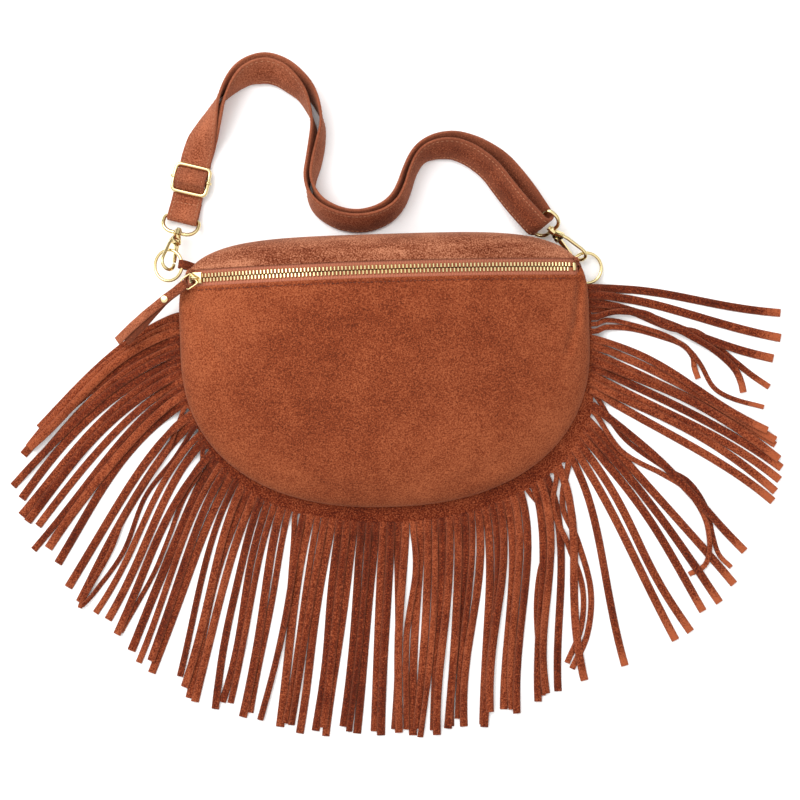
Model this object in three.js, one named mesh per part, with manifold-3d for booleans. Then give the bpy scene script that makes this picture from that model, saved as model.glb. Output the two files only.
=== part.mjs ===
// A fringed suede half-moon bag with a zip, a doubled adjustable strap and two swivel clasps.
// It lies on its back: +Z up, +X along the zip, +Y towards the strap, all in millimetres.
// The origin is the middle of the flat back, on the surface that the bag lies on.
import * as THREE from 'three';
import { mergeVertices } from 'three/addons/utils/BufferGeometryUtils.js';
import Module from 'manifold-3d';

const wasm = await Module();
wasm.setup();

// ---- driving dimensions ----

const gap = 0.3; // between pieces that touch

const bag = {
  halfWidth: 172.5,
  middleY: 20, // level of the widest place
  drop: 134, // from there down to the lowest place of the round side
  rise: 95, // and up to the fold along the top
  roundPower: 2.3,
  squarePower: 4.5,
  skin: 1.6,
  seamZ: 8, // height of the seam round the edge
  cornerLift: 11, // how much higher the seam is at the zip's ends
  cornerReach: 30,
  flatShare: 0.8, // part of the back that lies flat
};

const zip = {
  y: 82.5,
  halfSpan: 161, // from the middle to an end, seen from above
  crownZ: 58, // height in the middle
  radius: 405, // of the arc that the stuffed bag bends it to
  rowHalfWidth: 3.6,
  rowBottom: -1.8, // below the tape's outer side
  rowTop: 0.6,
  slot: 0.65, // from the centre line to each row
  openingHalf: 6.6, // from the centre line to the panels' folded edges
  tapeReachLower: 5, // how far each tape runs on under the panel
  tapeReachUpper: 1.4,
};

const slider = { length: 11, halfWidth: 4.7, plate: 1.3, inset: 6.5, web: 0.7, crownHeight: 4.6 };

const ring = { radius: 12.9, wire: 1.2, tabSkin: 1.2 };

const clasp = {
  wire: 1.5,
  eyeHalfWidth: 15,
  eyeHeight: 15.5,
  reach: 30.5, // from the swivel to the middle of the hook's nose
  noseRadius: 6.2,
  headTop: -3,
  pin: [-2.2, -7.8],
  pinRadius: 1,
  gateTip: [-5.7, -27.0],
};

const strap = { width: 25, thickness: 2.4, gap: 0.3, endLift: 5.4 };

const buckle = { halfWidth: 14.6, halfHeight: 11.5, wire: 1.4, bar: 1.0, z: 7.2 };

const fringe = {
  pieces: 4,
  strands: 96,
  band: 16, // the uncut part that shows outside the seam
  tuck: 4, // what is sewn into the seam
  thickness: 1.6,
  fill: 0.78, // strand width as a share of the space it has
  landing: 26, // how far out the cut part reaches the surface
};

// Way along the seam from the left end to the right end, direction and length of the strands.
const fringeFan = [
  [0.0, 217, 162],
  [0.05, 220, 190],
  [0.12, 225, 184],
  [0.2, 234, 178],
  [0.3, 245, 182],
  [0.4, 257, 195],
  [0.5, 265, 200],
  [0.6, 270, 202],
  [0.7, 280, 204],
  [0.8, 301, 206],
  [0.88, 320, 200],
  [0.95, 338, 178],
  [1.0, 349, 164],
];

const colours = {
  suede: 0xa35a38,
  suedeDark: 0x8a4428,
  suedeLight: 0xb86f4c,
  tape: 0xb87a5e,
  gold: 0xd9c08a,
};

// ---- helpers ----

const degrees = THREE.MathUtils.degToRad;
const { lerp, clamp, smoothstep } = THREE.MathUtils;
const root = new THREE.Group();

function material(colour, metal) {
  return new THREE.MeshStandardMaterial({
    color: colour,
    roughness: metal ? 0.3 : 0.9,
    metalness: metal ? 1 : 0,
    side: THREE.DoubleSide,
  });
}

const suede = material(colours.suede);
const suedeDark = material(colours.suedeDark);
const suedeLight = material(colours.suedeLight);
const tapeCloth = material(colours.tape);
const gold = material(colours.gold, true);

function add(name, geometry, finish, parent = root) {
  const mesh = new THREE.Mesh(geometry, finish);
  mesh.name = name;
  parent.add(mesh);
  return mesh;
}

function geometryFrom(points, triangles) {
  const geometry = new THREE.BufferGeometry();
  geometry.setAttribute('position', new THREE.Float32BufferAttribute(points.flatMap((p) => p.toArray()), 3));
  geometry.setIndex(triangles.flat());
  return geometry;
}

// Skins a row of rings of points. Each ring runs anticlockwise, seen from the end of the row.
// From ring turnBack on, the skin's quads are split along their other diagonal.
function loft(rings, closed = false, turnBack = Infinity) {
  const count = rings[0].length;
  const points = rings.flat();
  const triangles = [];
  for (let i = 0; i < rings.length - (closed ? 0 : 1); i++) {
    const here = i * count;
    const next = ((i + 1) % rings.length) * count;
    for (let j = 0; j < count; j++) {
      const k = (j + 1) % count;
      const [a, b, c, d] = [here + j, here + k, next + k, next + j];
      triangles.push(...(i < turnBack ? [[a, b, c], [a, c, d]] : [[a, b, d], [b, c, d]]));
    }
  }
  if (!closed) {
    const last = (rings.length - 1) * count;
    for (let j = 1; j < count - 1; j++) {
      triangles.push([0, j + 1, j], [last, last + j, last + j + 1]);
    }
  }
  return geometryFrom(points, triangles);
}

// A sheet of even thickness: top(u, v) gives its upper side, and u × v points up.
function sheet(top, columns, rows, thickness) {
  const step = 1e-3;
  const upper = [];
  const lower = [];
  for (let i = 0; i <= columns; i++) {
    for (let j = 0; j <= rows; j++) {
      const u = i / columns;
      const v = j / rows;
      const point = top(u, v);
      const alongU = top(Math.min(u + step, 1), v).sub(top(Math.max(u - step, 0), v));
      const alongV = top(u, Math.min(v + step, 1)).sub(top(u, Math.max(v - step, 0)));
      const normal = alongU.cross(alongV).normalize();
      upper.push(point);
      lower.push(point.clone().addScaledVector(normal, -thickness));
    }
  }
  return shell(upper, lower, columns, rows);
}

function shell(upper, lower, columns, rows) {
  const at = (i, j) => i * (rows + 1) + j;
  const under = upper.length;
  const triangles = [];
  for (let i = 0; i < columns; i++) {
    for (let j = 0; j < rows; j++) {
      const [a, b, c, d] = [at(i, j), at(i + 1, j), at(i + 1, j + 1), at(i, j + 1)];
      triangles.push([a, b, c], [a, c, d]);
      triangles.push([under + a, under + c, under + b], [under + a, under + d, under + c]);
    }
  }
  const rim = [];
  for (let i = 0; i < columns; i++) rim.push(at(i, 0));
  for (let j = 0; j < rows; j++) rim.push(at(columns, j));
  for (let i = columns; i > 0; i--) rim.push(at(i, rows));
  for (let j = rows; j > 0; j--) rim.push(at(0, j));
  rim.forEach((a, i) => {
    const b = rim[(i + 1) % rim.length];
    triangles.push([b, a, under + a], [b, under + a, under + b]);
  });
  return geometryFrom([...upper, ...lower], triangles);
}

// Round wire along a flat path in the local XY plane.
function wire(path, radius, closed, sides = 8) {
  const flat = path.map(([x, y]) => new THREE.Vector2(x, y));
  const rings = flat.map((point, i) => {
    const before = closed ? flat.at(i - 1) : flat[Math.max(i - 1, 0)];
    const after = closed ? flat[(i + 1) % flat.length] : flat[Math.min(i + 1, flat.length - 1)];
    const along = after.clone().sub(before).normalize();
    const across = new THREE.Vector3(along.y, -along.x, 0);
    return Array.from({ length: sides }, (_, k) => {
      const angle = (2 * Math.PI * k) / sides;
      const offset = across.clone().multiplyScalar(radius * Math.cos(angle));
      offset.z += radius * Math.sin(angle);
      return new THREE.Vector3(point.x, point.y, 0).add(offset);
    });
  });
  return loft(rings.reverse(), closed);
}

function arc(x, y, radius, from, to, steps) {
  return Array.from({ length: steps + 1 }, (_, i) => {
    const angle = degrees(lerp(from, to, i / steps));
    return [x + radius * Math.cos(angle), y + radius * Math.sin(angle)];
  });
}

function slab(outline, from, to, holes = []) {
  const shape = new THREE.Shape(outline.map(([x, y]) => new THREE.Vector2(x, y)));
  holes.forEach((hole) => shape.holes.push(new THREE.Path(hole.map(([x, y]) => new THREE.Vector2(x, y)))));
  return new THREE.ExtrudeGeometry(shape, { depth: to - from, bevelEnabled: false }).translate(0, 0, from);
}

function box(x, y, z) {
  return new THREE.BoxGeometry(x[1] - x[0], y[1] - y[0], z[1] - z[0])
    .translate((x[0] + x[1]) / 2, (y[0] + y[1]) / 2, (z[0] + z[1]) / 2);
}

function rod(radius, from, to, sides = 16) {
  return new THREE.CylinderGeometry(radius, radius, to - from, sides).translate(0, (from + to) / 2, 0);
}

function solid(geometry) {
  const bare = geometry.clone();
  bare.deleteAttribute('normal');
  bare.deleteAttribute('uv');
  const merged = mergeVertices(bare, 1e-4);
  const vertProperties = new Float32Array(merged.attributes.position.array);
  const triVerts = new Uint32Array(merged.index.array);
  return new wasm.Manifold(new wasm.Mesh({ numProp: 3, vertProperties, triVerts }));
}

function join(parts, cuts = []) {
  let whole = parts.map(solid).reduce((a, b) => a.add(b));
  cuts.forEach((cut) => { whole = whole.subtract(solid(cut)); });
  const mesh = whole.getMesh();
  const geometry = new THREE.BufferGeometry();
  geometry.setAttribute('position', new THREE.BufferAttribute(mesh.vertProperties, 3));
  geometry.setIndex(new THREE.BufferAttribute(mesh.triVerts, 1));
  return geometry;
}

// A group whose local X and Y axes point along the given directions.
function placed(origin, xAxis, yAxis) {
  const x = xAxis.clone().normalize();
  const y = yAxis.clone().addScaledVector(x, -yAxis.dot(x)).normalize();
  const group = new THREE.Group();
  group.position.copy(origin);
  group.quaternion.setFromRotationMatrix(new THREE.Matrix4().makeBasis(x, y, x.clone().cross(y)));
  root.add(group);
  return group;
}

const vector = (x, y, z) => new THREE.Vector3(x, y, z);

// ---- the bag's outline and seam ----

function outlinePoint(angle) {
  const upper = Math.sin(angle) > 0;
  const power = 2 / (upper ? bag.squarePower : bag.roundPower);
  const [c, s] = [Math.cos(angle), Math.sin(angle)];
  return vector(
    bag.halfWidth * Math.sign(c) * Math.abs(c) ** power,
    bag.middleY + (upper ? bag.rise : bag.drop) * Math.sign(s) * Math.abs(s) ** power,
    0,
  );
}

const cornerAngle = Math.asin(((zip.y - bag.middleY) / bag.rise) ** (bag.squarePower / 2));

function outlineCurve(from, to) {
  const count = 240;
  const points = Array.from({ length: count + 1 }, (_, i) => outlinePoint(lerp(from, to, i / count)));
  return new THREE.CatmullRomCurve3(points);
}

// Both run from the zip's left end to its right end.
const frontSeam = outlineCurve(Math.PI - cornerAngle, 2 * Math.PI + cornerAngle);
const topSeam = outlineCurve(Math.PI - cornerAngle, cornerAngle);

const corner = outlinePoint(cornerAngle);

function seamHeight(point) {
  const away = Math.hypot(Math.abs(point.x) - corner.x, point.y - corner.y);
  return bag.seamZ + bag.cornerLift * Math.exp(-((away / bag.cornerReach) ** 2));
}

// ---- the zip's arc ----

const zipCentreZ = zip.crownZ - zip.radius;
const zipHalfAngle = Math.asin(zip.halfSpan / zip.radius);

// A place on the arc: angle from its middle, Y, and height above the tape's outer side.
function onZip(angle, y, lift) {
  const reach = zip.radius + lift;
  return vector(reach * Math.sin(angle), y, zipCentreZ + reach * Math.cos(angle));
}

function alongZip(x) {
  return Math.asin(clamp(x / zip.radius, -1, 1));
}

// ---- panels ----

const lipLift = 1.2; // the panels' folded edges stand this far above the tape

function frontPanel(u, v) {
  const x = -zip.halfSpan * Math.cos(Math.PI * u);
  const lip = onZip(alongZip(x), zip.y - zip.openingHalf, lipLift);
  const edge = frontSeam.getPointAt(u);
  edge.z = seamHeight(edge) + fringe.thickness / 2 + gap + bag.skin;
  const fall = 1 - (1 - v ** 2.3) ** 0.6;
  return vector(lerp(lip.x, edge.x, v), lerp(lip.y, edge.y, v), lerp(lip.z, edge.z, fall));
}

function topYoke(u, v) {
  const edge = topSeam.getPointAt(u);
  edge.z = seamHeight(edge) + fringe.thickness / 2 + gap + bag.skin;
  const x = (edge.x * zip.halfSpan) / corner.x;
  const lip = onZip(alongZip(x), zip.y + zip.openingHalf, lipLift);
  const height = Math.max(lip.z - edge.z, 0);
  const reach = Math.max(edge.y - lip.y, 0);
  const section = new THREE.CubicBezierCurve3(
    lip,
    vector(lerp(lip.x, edge.x, 0.3), lip.y + 0.55 * reach, lip.z + 0.06 * height),
    vector(edge.x, edge.y + 0.03 * height, edge.z + 0.75 * height),
    edge,
  );
  return section.getPoint(v);
}

add('front_panel', sheet((u, v) => frontPanel(1 - u, 1 - v), 38, 10, bag.skin), suede);
add('top_yoke', sheet((u, v) => topYoke(u, v), 30, 8, bag.skin), suedeLight);

function backPanel() {
  const spokes = 60;
  const shares = [0.5, bag.flatShare, 0.86, 0.91, 0.96, 1];
  const middle = vector(0, bag.middleY, 0);
  const points = [middle.clone(), middle.clone().setZ(bag.skin)];
  const triangles = [];
  const around = [
    ...Array.from({ length: 42 }, (_, i) => frontSeam.getPointAt(i / 42)),
    ...Array.from({ length: spokes - 42 }, (_, i) => topSeam.getPointAt(1 - i / (spokes - 42))),
  ];
  for (const share of shares) {
    const curl = (Math.max(share - bag.flatShare, 0) / (1 - bag.flatShare)) ** 1.6;
    for (const edge of around) {
      const top = seamHeight(edge) - fringe.thickness / 2 - gap;
      const low = middle.clone().lerp(edge, share).setZ((top - bag.skin) * curl);
      points.push(low, low.clone().setZ(low.z + bag.skin));
    }
  }
  const at = (ring, spoke, upper) => 2 + (ring * spokes + (spoke % spokes)) * 2 + upper;
  for (let i = 0; i < spokes; i++) {
    triangles.push([0, at(0, i + 1, 0), at(0, i, 0)], [1, at(0, i, 1), at(0, i + 1, 1)]);
    for (let ring = 1; ring < shares.length; ring++) {
      for (const upper of [0, 1]) {
        const [a, b] = [at(ring - 1, i, upper), at(ring - 1, i + 1, upper)];
        const [c, d] = [at(ring, i + 1, upper), at(ring, i, upper)];
        triangles.push(...(upper ? [[a, d, c], [a, c, b]] : [[a, c, d], [a, b, c]]));
      }
    }
    const last = shares.length - 1;
    const [a, b] = [at(last, i, 0), at(last, i + 1, 0)];
    triangles.push([a, b, b + 1], [a, b + 1, a + 1]);
  }
  return geometryFrom(points, triangles);
}

add('back_panel', backPanel(), suede);

// ---- zip ----

function zipStrip(yLow, yHigh, liftLow, liftHigh, trim) {
  const steps = 40;
  const end = zipHalfAngle - trim / zip.radius;
  const rings = Array.from({ length: steps + 1 }, (_, i) => {
    const angle = lerp(-end, end, i / steps);
    return [
      onZip(angle, yLow, liftLow),
      onZip(angle, yHigh, liftLow),
      onZip(angle, yHigh, liftHigh),
      onZip(angle, yLow, liftHigh),
    ];
  });
  return loft(rings);
}

const tapeTop = lipLift - bag.skin - gap;
const tapeInner = zip.rowHalfWidth + gap;
const tapeLower = zip.y - zip.openingHalf - zip.tapeReachLower;
const tapeUpper = zip.y + zip.openingHalf + zip.tapeReachUpper;
add('zip_tape_lower', zipStrip(tapeLower, zip.y - tapeInner, tapeTop - 0.8, tapeTop, 3), tapeCloth);
add('zip_tape_upper', zipStrip(zip.y + tapeInner, tapeUpper, tapeTop - 0.8, tapeTop, 5), tapeCloth);

// Each row of teeth is one strip as wide and as thick as the teeth.
function toothRow(side) {
  const [low, high] = [side * zip.rowHalfWidth, side * zip.slot].sort((a, b) => a - b);
  return zipStrip(zip.y + low, zip.y + high, zip.rowBottom, zip.rowTop, 3.4);
}

add('zip_teeth_lower', toothRow(-1), gold);
add('zip_teeth_upper', toothRow(1), gold);

// A group on the zip: local X runs along it to the right, local Y is +Y, local Z is out of it.
function onArc(angle) {
  return placed(onZip(angle, zip.y, 0), vector(Math.cos(angle), 0, -Math.sin(angle)), vector(0, 1, 0));
}

const plateBottom = zip.rowTop + 0.35;
const stopAngle = zipHalfAngle - 1.4 / zip.radius;
add('zip_end_stop', box([-1.5, 1.5], [-3.4, 3.4], [zip.rowBottom, 1.2]), gold, onArc(stopAngle));

const sliderAngle = -(zipHalfAngle - slider.inset / zip.radius);
const sliderPlace = onArc(sliderAngle);

function sliderBody() {
  const half = slider.length / 2;
  const wide = slider.halfWidth;
  const outline = [
    [-half, -wide * 0.8],
    [-half * 0.4, -wide],
    [half, -wide * 0.86],
    [half, wide * 0.86],
    [-half * 0.4, wide],
    [-half, wide * 0.8],
  ];
  const plateTop = plateBottom + slider.plate;
  const lowTop = zip.rowBottom - 0.4;
  const bow = [[-3.6, 0], ...arc(-1.6, slider.crownHeight - 2, 2, 180, 90, 3),
    ...arc(1.6, slider.crownHeight - 2, 2, 90, 0, 3), [3.6, 0]];
  const crown = wire(bow, 0.8, false, 8);
  crown.rotateX(Math.PI / 2);
  crown.translate(0, 0, plateTop - 0.4);
  const flangeY = [[-4.5, -3.95], [3.95, 4.5]];
  return join([
    slab(outline, plateBottom, plateTop),
    slab(outline.map(([x, y]) => [x, y * 0.8]), lowTop - slider.plate, lowTop),
    box([-half + 0.8, -half + 4.6], [-slider.web / 2, slider.web / 2], [lowTop - 0.4, plateBottom + 0.4]),
    ...flangeY.map((y) => box([-half * 0.6, half], y, [-0.35, plateBottom + 0.3])),
    crown,
  ]);
}

add('zip_slider', sliderBody(), gold, sliderPlace);

// The pull: a wire link through the slider's crown, and a doubled strip of suede looped on it.
const pull = {
  linkWire: 0.75,
  linkLength: 10.5,
  linkHalf: 5.2,
  width: 7,
  length: 76,
  shortBy: 6, // the under layer ends sooner
  thickness: 1.5,
  rivetAt: 20,
  droop: 0.0052, // how fast the strip bends down past the rivet
};
const pullAcross = vector(0.57, -0.82, 0.12);

// Local X runs from the bar in the crown, at 0, to the bar that the strip is folded over.
function pullLink() {
  const far = pull.linkLength - 1.5;
  const half = pull.linkHalf - 1.5;
  const path = [
    ...arc(far, half, 1.5, 0, 90, 3),
    ...arc(1.5, half, 1.5, 90, 180, 3),
    ...arc(1.5, -half, 1.5, 180, 270, 3),
    ...arc(far, -half, 1.5, 270, 360, 3),
  ];
  return wire(path, pull.linkWire, true, 8);
}

const crownHole = sliderPlace.localToWorld(vector(0, 0, plateBottom + slider.plate + 1.4));
const linkPlace = placed(crownHole, vector(-0.82, -0.57, 0.22), pullAcross);
const linkEnd = linkPlace.localToWorld(vector(pull.linkLength, 0, 0));
const tabPlace = placed(linkEnd, vector(-0.82, -0.57, -0.09), pullAcross);
add('pull_link', pullLink(), gold, linkPlace);

// Side view of the folded strip: local X runs down the pull and local Z is its thickness.
function pullTab() {
  const inner = pull.linkWire + 0.35;
  const outer = inner + pull.thickness;
  const stops = [9, pull.rivetAt, 32, 44, 56, 66];
  const bend = (x) => -pull.droop * Math.max(x - pull.rivetAt - 3, 0) ** 2;
  const side = (height, end) => [...stops, end].map((x) => [x, bend(x) + height]);
  const profile = [
    ...arc(0, 0, outer, 90, 270, 8),
    ...side(-pull.thickness - 0.15, pull.length - pull.shortBy),
    ...side(-0.15, pull.length - pull.shortBy).reverse(),
    ...arc(0, 0, inner, 270, 90, 8),
    ...side(0.15, pull.length),
    ...side(pull.thickness + 0.15, pull.length).reverse(),
  ];
  const strip = slab(profile, -pull.width / 2, pull.width / 2).rotateX(Math.PI / 2);
  return join([strip], [rod(1.9, -6, 6, 16).rotateX(Math.PI / 2).translate(pull.rivetAt, 0, 0)]);
}

function turned(profile, sides) {
  const points = profile.map(([x, y]) => new THREE.Vector2(x, y));
  return new THREE.LatheGeometry(points, sides).rotateX(Math.PI / 2);
}

add('pull_tab', pullTab(), suede, tabPlace);
const rivetOut = pull.thickness + 0.15 + gap;
const rivet = turned([
  [0, -rivetOut - 0.8],
  [3.1, -rivetOut - 0.8],
  [3.1, -rivetOut],
  [1.5, -rivetOut],
  [1.5, rivetOut],
  [3.4, rivetOut],
  [2.9, rivetOut + 0.9],
  [0, rivetOut + 1.2],
], 16);
add('pull_rivet', rivet.translate(pull.rivetAt, 0, 0), gold, tabPlace);

// ---- rings and their tabs ----

// A tab wraps the ring at the place nearest the bag, and its two ends run on to the seam.
const rings = {
  left: { at: vector(-179, 94.5, 20), toTab: vector(1, 0, 0.4), toSeam: vector(1, 0, -0.5), run: 1.6 },
  right: { at: vector(172.5, 82.5, 5.2), toTab: vector(-1, 0, 0.14), toSeam: vector(0.8, 0, 0.6), run: 0.4 },
};

function ringTab(run) {
  const inner = ring.wire + 0.75;
  const outer = inner + ring.tabSkin;
  const profile = [
    ...arc(0, 0, outer, 35, 325, 12),
    [outer + run, -ring.tabSkin - 0.15],
    [outer + run, -0.15],
    ...arc(0, 0, inner, 355, 5, 12),
    [outer + run, 0.15],
    [outer + run, ring.tabSkin + 0.15],
  ];
  return slab(profile, -3.5, 3.5).rotateX(Math.PI / 2);
}

for (const [side, { at, toTab, toSeam, run }] of Object.entries(rings)) {
  const ringPlace = placed(at, toTab, vector(0, 1, 0));
  const hold = ringPlace.localToWorld(vector(ring.radius, 0, 0));
  add(`ring_${side}`, new THREE.TorusGeometry(ring.radius, ring.wire, 8, 30), gold, ringPlace);
  add(`ring_tab_${side}`, ringTab(run), suedeDark, placed(hold, toSeam, vector(0, 1, 0)));
}

// ---- clasps ----

function eye() {
  const { eyeHalfWidth: w, eyeHeight: h } = clasp;
  const path = [
    ...arc(w - 3.5, h - 3.5, 3.5, 0, 90, 4),
    ...arc(-w + 3.5, h - 3.5, 3.5, 90, 180, 4),
    ...arc(-w + 9.5, 9.5, 9.5, 180, 270, 8),
    ...arc(w - 9.5, 9.5, 9.5, 270, 360, 8),
  ];
  return join([wire(path, clasp.wire, true), rod(3.1, -2.3, 2.3)], [rod(1.6, -5, 5)]);
}

function hook() {
  const [pinX, pinY] = clasp.pin;
  const nose = clasp.noseRadius;
  const path = [[3, -7], [4.8, -14], [nose, -clasp.reach + 2], ...arc(0, -clasp.reach, nose, 0, -196, 14)];
  const head = [[-2.4, clasp.headTop], [2.4, clasp.headTop], [4.7, -8.5], [4.2, -10.6], [-4.6, -10.6], [-4.9, -8.5]];
  return join(
    [
      wire(path, clasp.wire, false),
      slab(head, -2.3, 2.3),
      rod(1.3, clasp.headTop - 0.5, 3.6, 16),
      rod(2.3, 2.7, 4.2, 16),
    ],
    [
      box([-6, 0.4], [-12, -5.2], [-1.3, 1.3]),
      rod(clasp.pinRadius + 0.15, -4, 4, 16).rotateX(Math.PI / 2).translate(pinX, pinY, 0),
    ],
  );
}

function gate() {
  const [pinX, pinY] = clasp.pin;
  const [tipX, tipY] = clasp.gateTip;
  const blade = [
    [pinX + 1.1, pinY + 0.6],
    [pinX + 0.3, pinY + 1.9],
    [pinX - 1.0, pinY + 1.9],
    [pinX - 1.8, pinY + 0.3],
    [tipX - 1.0, tipY],
    [tipX + 0.9, tipY],
    [pinX + 1.5, pinY - 3],
  ];
  return join(
    [slab(blade, -1, 1)],
    [rod(clasp.pinRadius + 0.15, -4, 4, 16).rotateX(Math.PI / 2).translate(pinX, pinY, 0)],
  );
}

function gatePin() {
  const profile = [[0, -3.2], [1.6, -3.2], [1.9, -2.6], [1, -2.6], [1, 2.6], [1.9, 2.6], [1.6, 3.2], [0, 3.2]];
  return turned(profile, 12).translate(...clasp.pin, 0);
}

// The strap's left end lies flat and points from the clasp to the buckle along endHeading.
const endMiddle = vector(-159.6, 167.5, 0);
const endHeading = vector(0.255, 0.967, 0).normalize();
const endAcross = vector(endHeading.y, -endHeading.x, 0);
const leftFold = { along: -33.2, z: 4.4 };
const leftBar = endMiddle.clone().addScaledVector(endHeading, leftFold.along).setZ(leftFold.z);
const leftDown = endHeading.clone().multiplyScalar(-Math.cos(degrees(29))).setZ(Math.sin(degrees(29)));
const rightDown = vector(0.745, -0.655, -0.2).normalize();
const rightAcross = vector(0.535, 0.4, 0.743);
const rightSwivel = vector(143.5, 114.2, 13.4);

const clasps = {
  left: {
    swivel: leftBar.clone().addScaledVector(leftDown, clasp.eyeHeight),
    down: leftDown,
    eyeAcross: endAcross,
    barSide: vector(-0.633, 0.513, 0.579),
  },
  right: {
    swivel: rightSwivel,
    down: rightDown,
    eyeAcross: rightAcross,
    barSide: vector(0.54, 0.41, 0.735),
  },
};

// The eye turns on the strap and the hook swivels on the eye, so each has a group of its own.
for (const [side, place] of Object.entries(clasps)) {
  const up = place.down.clone().negate();
  const across = place.eyeAcross.clone().addScaledVector(up, -place.eyeAcross.dot(up));
  const barSide = place.barSide.clone().addScaledVector(up, -place.barSide.dot(up));
  const eyePlace = placed(place.swivel, across, up);
  const hookPlace = placed(place.swivel, barSide, up);
  add(`clasp_eye_${side}`, eye(), gold, eyePlace);
  add(`clasp_hook_${side}`, hook(), gold, hookPlace);
  add(`clasp_gate_${side}`, gate(), gold, hookPlace);
  add(`clasp_pin_${side}`, gatePin(), gold, hookPlace);
}

// ---- buckle ----

const bucklePlace = placed(endMiddle.clone().setZ(buckle.z), endAcross, endHeading);
const { halfWidth: frameX, halfHeight: frameY } = buckle;
const framePath = [
  ...arc(frameX - 4, frameY - 4, 4, 0, 90, 5),
  ...arc(-frameX + 4, frameY - 4, 4, 90, 180, 5),
  ...arc(-frameX + 4, -frameY + 4, 4, 180, 270, 5),
  ...arc(frameX - 4, -frameY + 4, 4, 270, 360, 5),
];
const barTube = rod(buckle.bar, -frameX + buckle.wire + gap, frameX - buckle.wire - gap, 12).rotateZ(Math.PI / 2);
add('buckle_frame', wire(framePath, buckle.wire, true, 8), gold, bucklePlace);
add('buckle_bar', barTube, gold, bucklePlace);

// ---- strap ----

// The doubled stretch, from the buckle to the right clasp. Each station is a point of the line
// between the two layers' top edges, the lean in degrees (0 upright, 90 flat, positive when the
// lower edge is on the left of the way) and the space between the layers.
const strapStations = [
  [-143, 181, 90, 0.3],
  [-139, 192, 80, 0.3],
  [-135.5, 204, 58, 0.4],
  [-132.5, 217, 34, 0.6],
  [-129, 232, 10, 0.8],
  [-122, 248, -16, 0.6],
  [-113, 258, -34, 0.4],
  [-101, 263, -43, 0.3],
  [-89, 263, -44, 0.3],
  [-76, 258, -40, 0.4],
  [-66, 249, -33, 0.8],
  [-57.5, 237, -20, 1.6],
  [-53.5, 224, -8, 2.2],
  [-53.5, 210, 4, 2.4],
  [-56, 195, 12, 1.6],
  [-59, 180, 14, 0.8],
  [-60, 166, 8, 1.2],
  [-57, 154, -5, 1.6],
  [-49, 144, -18, 0.8],
  [-36, 137, -26, 0.4],
  [-22, 134, -29, 0.4],
  [-9, 135, -28, 0.6],
  [3, 139, -23, 1.6],
  [12, 146, -16, 2.4],
  [18, 155, -12, 2.0],
  [23, 167, -12, 1.4],
  [29, 178, -16, 1.0],
  [37, 186, -25, 1.0],
  [49, 191, -32, 1.6],
  [64, 192, -35, 2.6],
  [79, 188, -37, 4],
  [92, 181.5, -38, 6],
  [104, 172, -39, 9],
  [114, 160, -40, 12],
  [124, 147.5, -41, 13],
  [132, 137, -42, 12],
  [138.4, 128.4, -42, 9.5],
];

const stationCurve = new THREE.CatmullRomCurve3(strapStations.map(([x, y]) => vector(x, y, 0)));
const poseCurve = new THREE.CatmullRomCurve3(strapStations.map(([, , lean, space]) => vector(lean, space, 0)));

// One layer's section: its middle, the direction of its width and the direction of its thickness.
function layerAt(t, side) {
  const edge = stationCurve.getPoint(t);
  const along = stationCurve.getTangent(t);
  const { x: lean, y: space } = poseCurve.getPoint(t);
  const left = vector(-along.y, along.x, 0);
  const width = left.clone().multiplyScalar(-Math.sin(degrees(lean))).setZ(Math.cos(degrees(lean)));
  const through = along.clone().cross(width);
  const apart = (strap.thickness + strap.gap) / 2;
  const rise = (strap.width * width.z) / 2 + (apart + strap.thickness / 2) * Math.abs(through.z) + 0.1;
  const middle = edge.addScaledVector(width.clone().setZ(0), -strap.width / 2).setZ(rise + liftNear(t));
  const spread = left.clone().negate().lerp(through, smoothstep(t, 0.8, 1));
  middle.addScaledVector(through, side * apart).addScaledVector(spread, (side * (space - strap.gap)) / 2);
  return { middle, width, through: through.multiplyScalar(side) };
}

// The clasp holds the strap's right end above the surface.
function liftNear(t) {
  return strap.endLift * smoothstep(t, 0.8, 1);
}

const sections = [];

// A section near the buckle: turn is 0 where the strap runs towards the clasp and 180 where it runs back.
function endSection(along, z, turn) {
  const normal = endHeading.clone().multiplyScalar(-Math.sin(degrees(turn))).setZ(-Math.cos(degrees(turn)));
  return {
    middle: endMiddle.clone().addScaledVector(endHeading, along).setZ(z),
    width: endAcross.clone(),
    through: normal,
  };
}

// Left end: tucked under, round the clasp's eye, and back to the buckle on top.
const foldRadius = clasp.wire + gap + strap.thickness / 2;
const lowLayer = strap.thickness / 2 + 0.1;
const highLayer = lowLayer + strap.thickness + gap;
sections.push(endSection(-18, lowLayer, 0), endSection(leftFold.along + 4, lowLayer, 0));
for (let angle = 0; angle <= 180; angle += 30) {
  const { along, z } = leftFold;
  const [back, up] = [foldRadius * Math.sin(degrees(angle)), -foldRadius * Math.cos(degrees(angle))];
  sections.push(endSection(along - back, z + up, angle));
}
sections.push(endSection(-28, leftFold.z + foldRadius - 0.6, 190), endSection(-19, highLayer, 184));
const humpHeight = 9.2;
for (let step = -6; step <= 6; step++) {
  const along = (step / 6) * buckle.halfHeight;
  const phase = (Math.PI * along) / (2 * buckle.halfHeight);
  const rise = humpHeight * Math.cos(phase) ** 2;
  const slope = (-humpHeight * Math.sin(2 * phase) * Math.PI) / (2 * buckle.halfHeight);
  const tilt = THREE.MathUtils.radToDeg(Math.atan(slope));
  sections.push(endSection(along, highLayer + rise, 180 - tilt));
}

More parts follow.
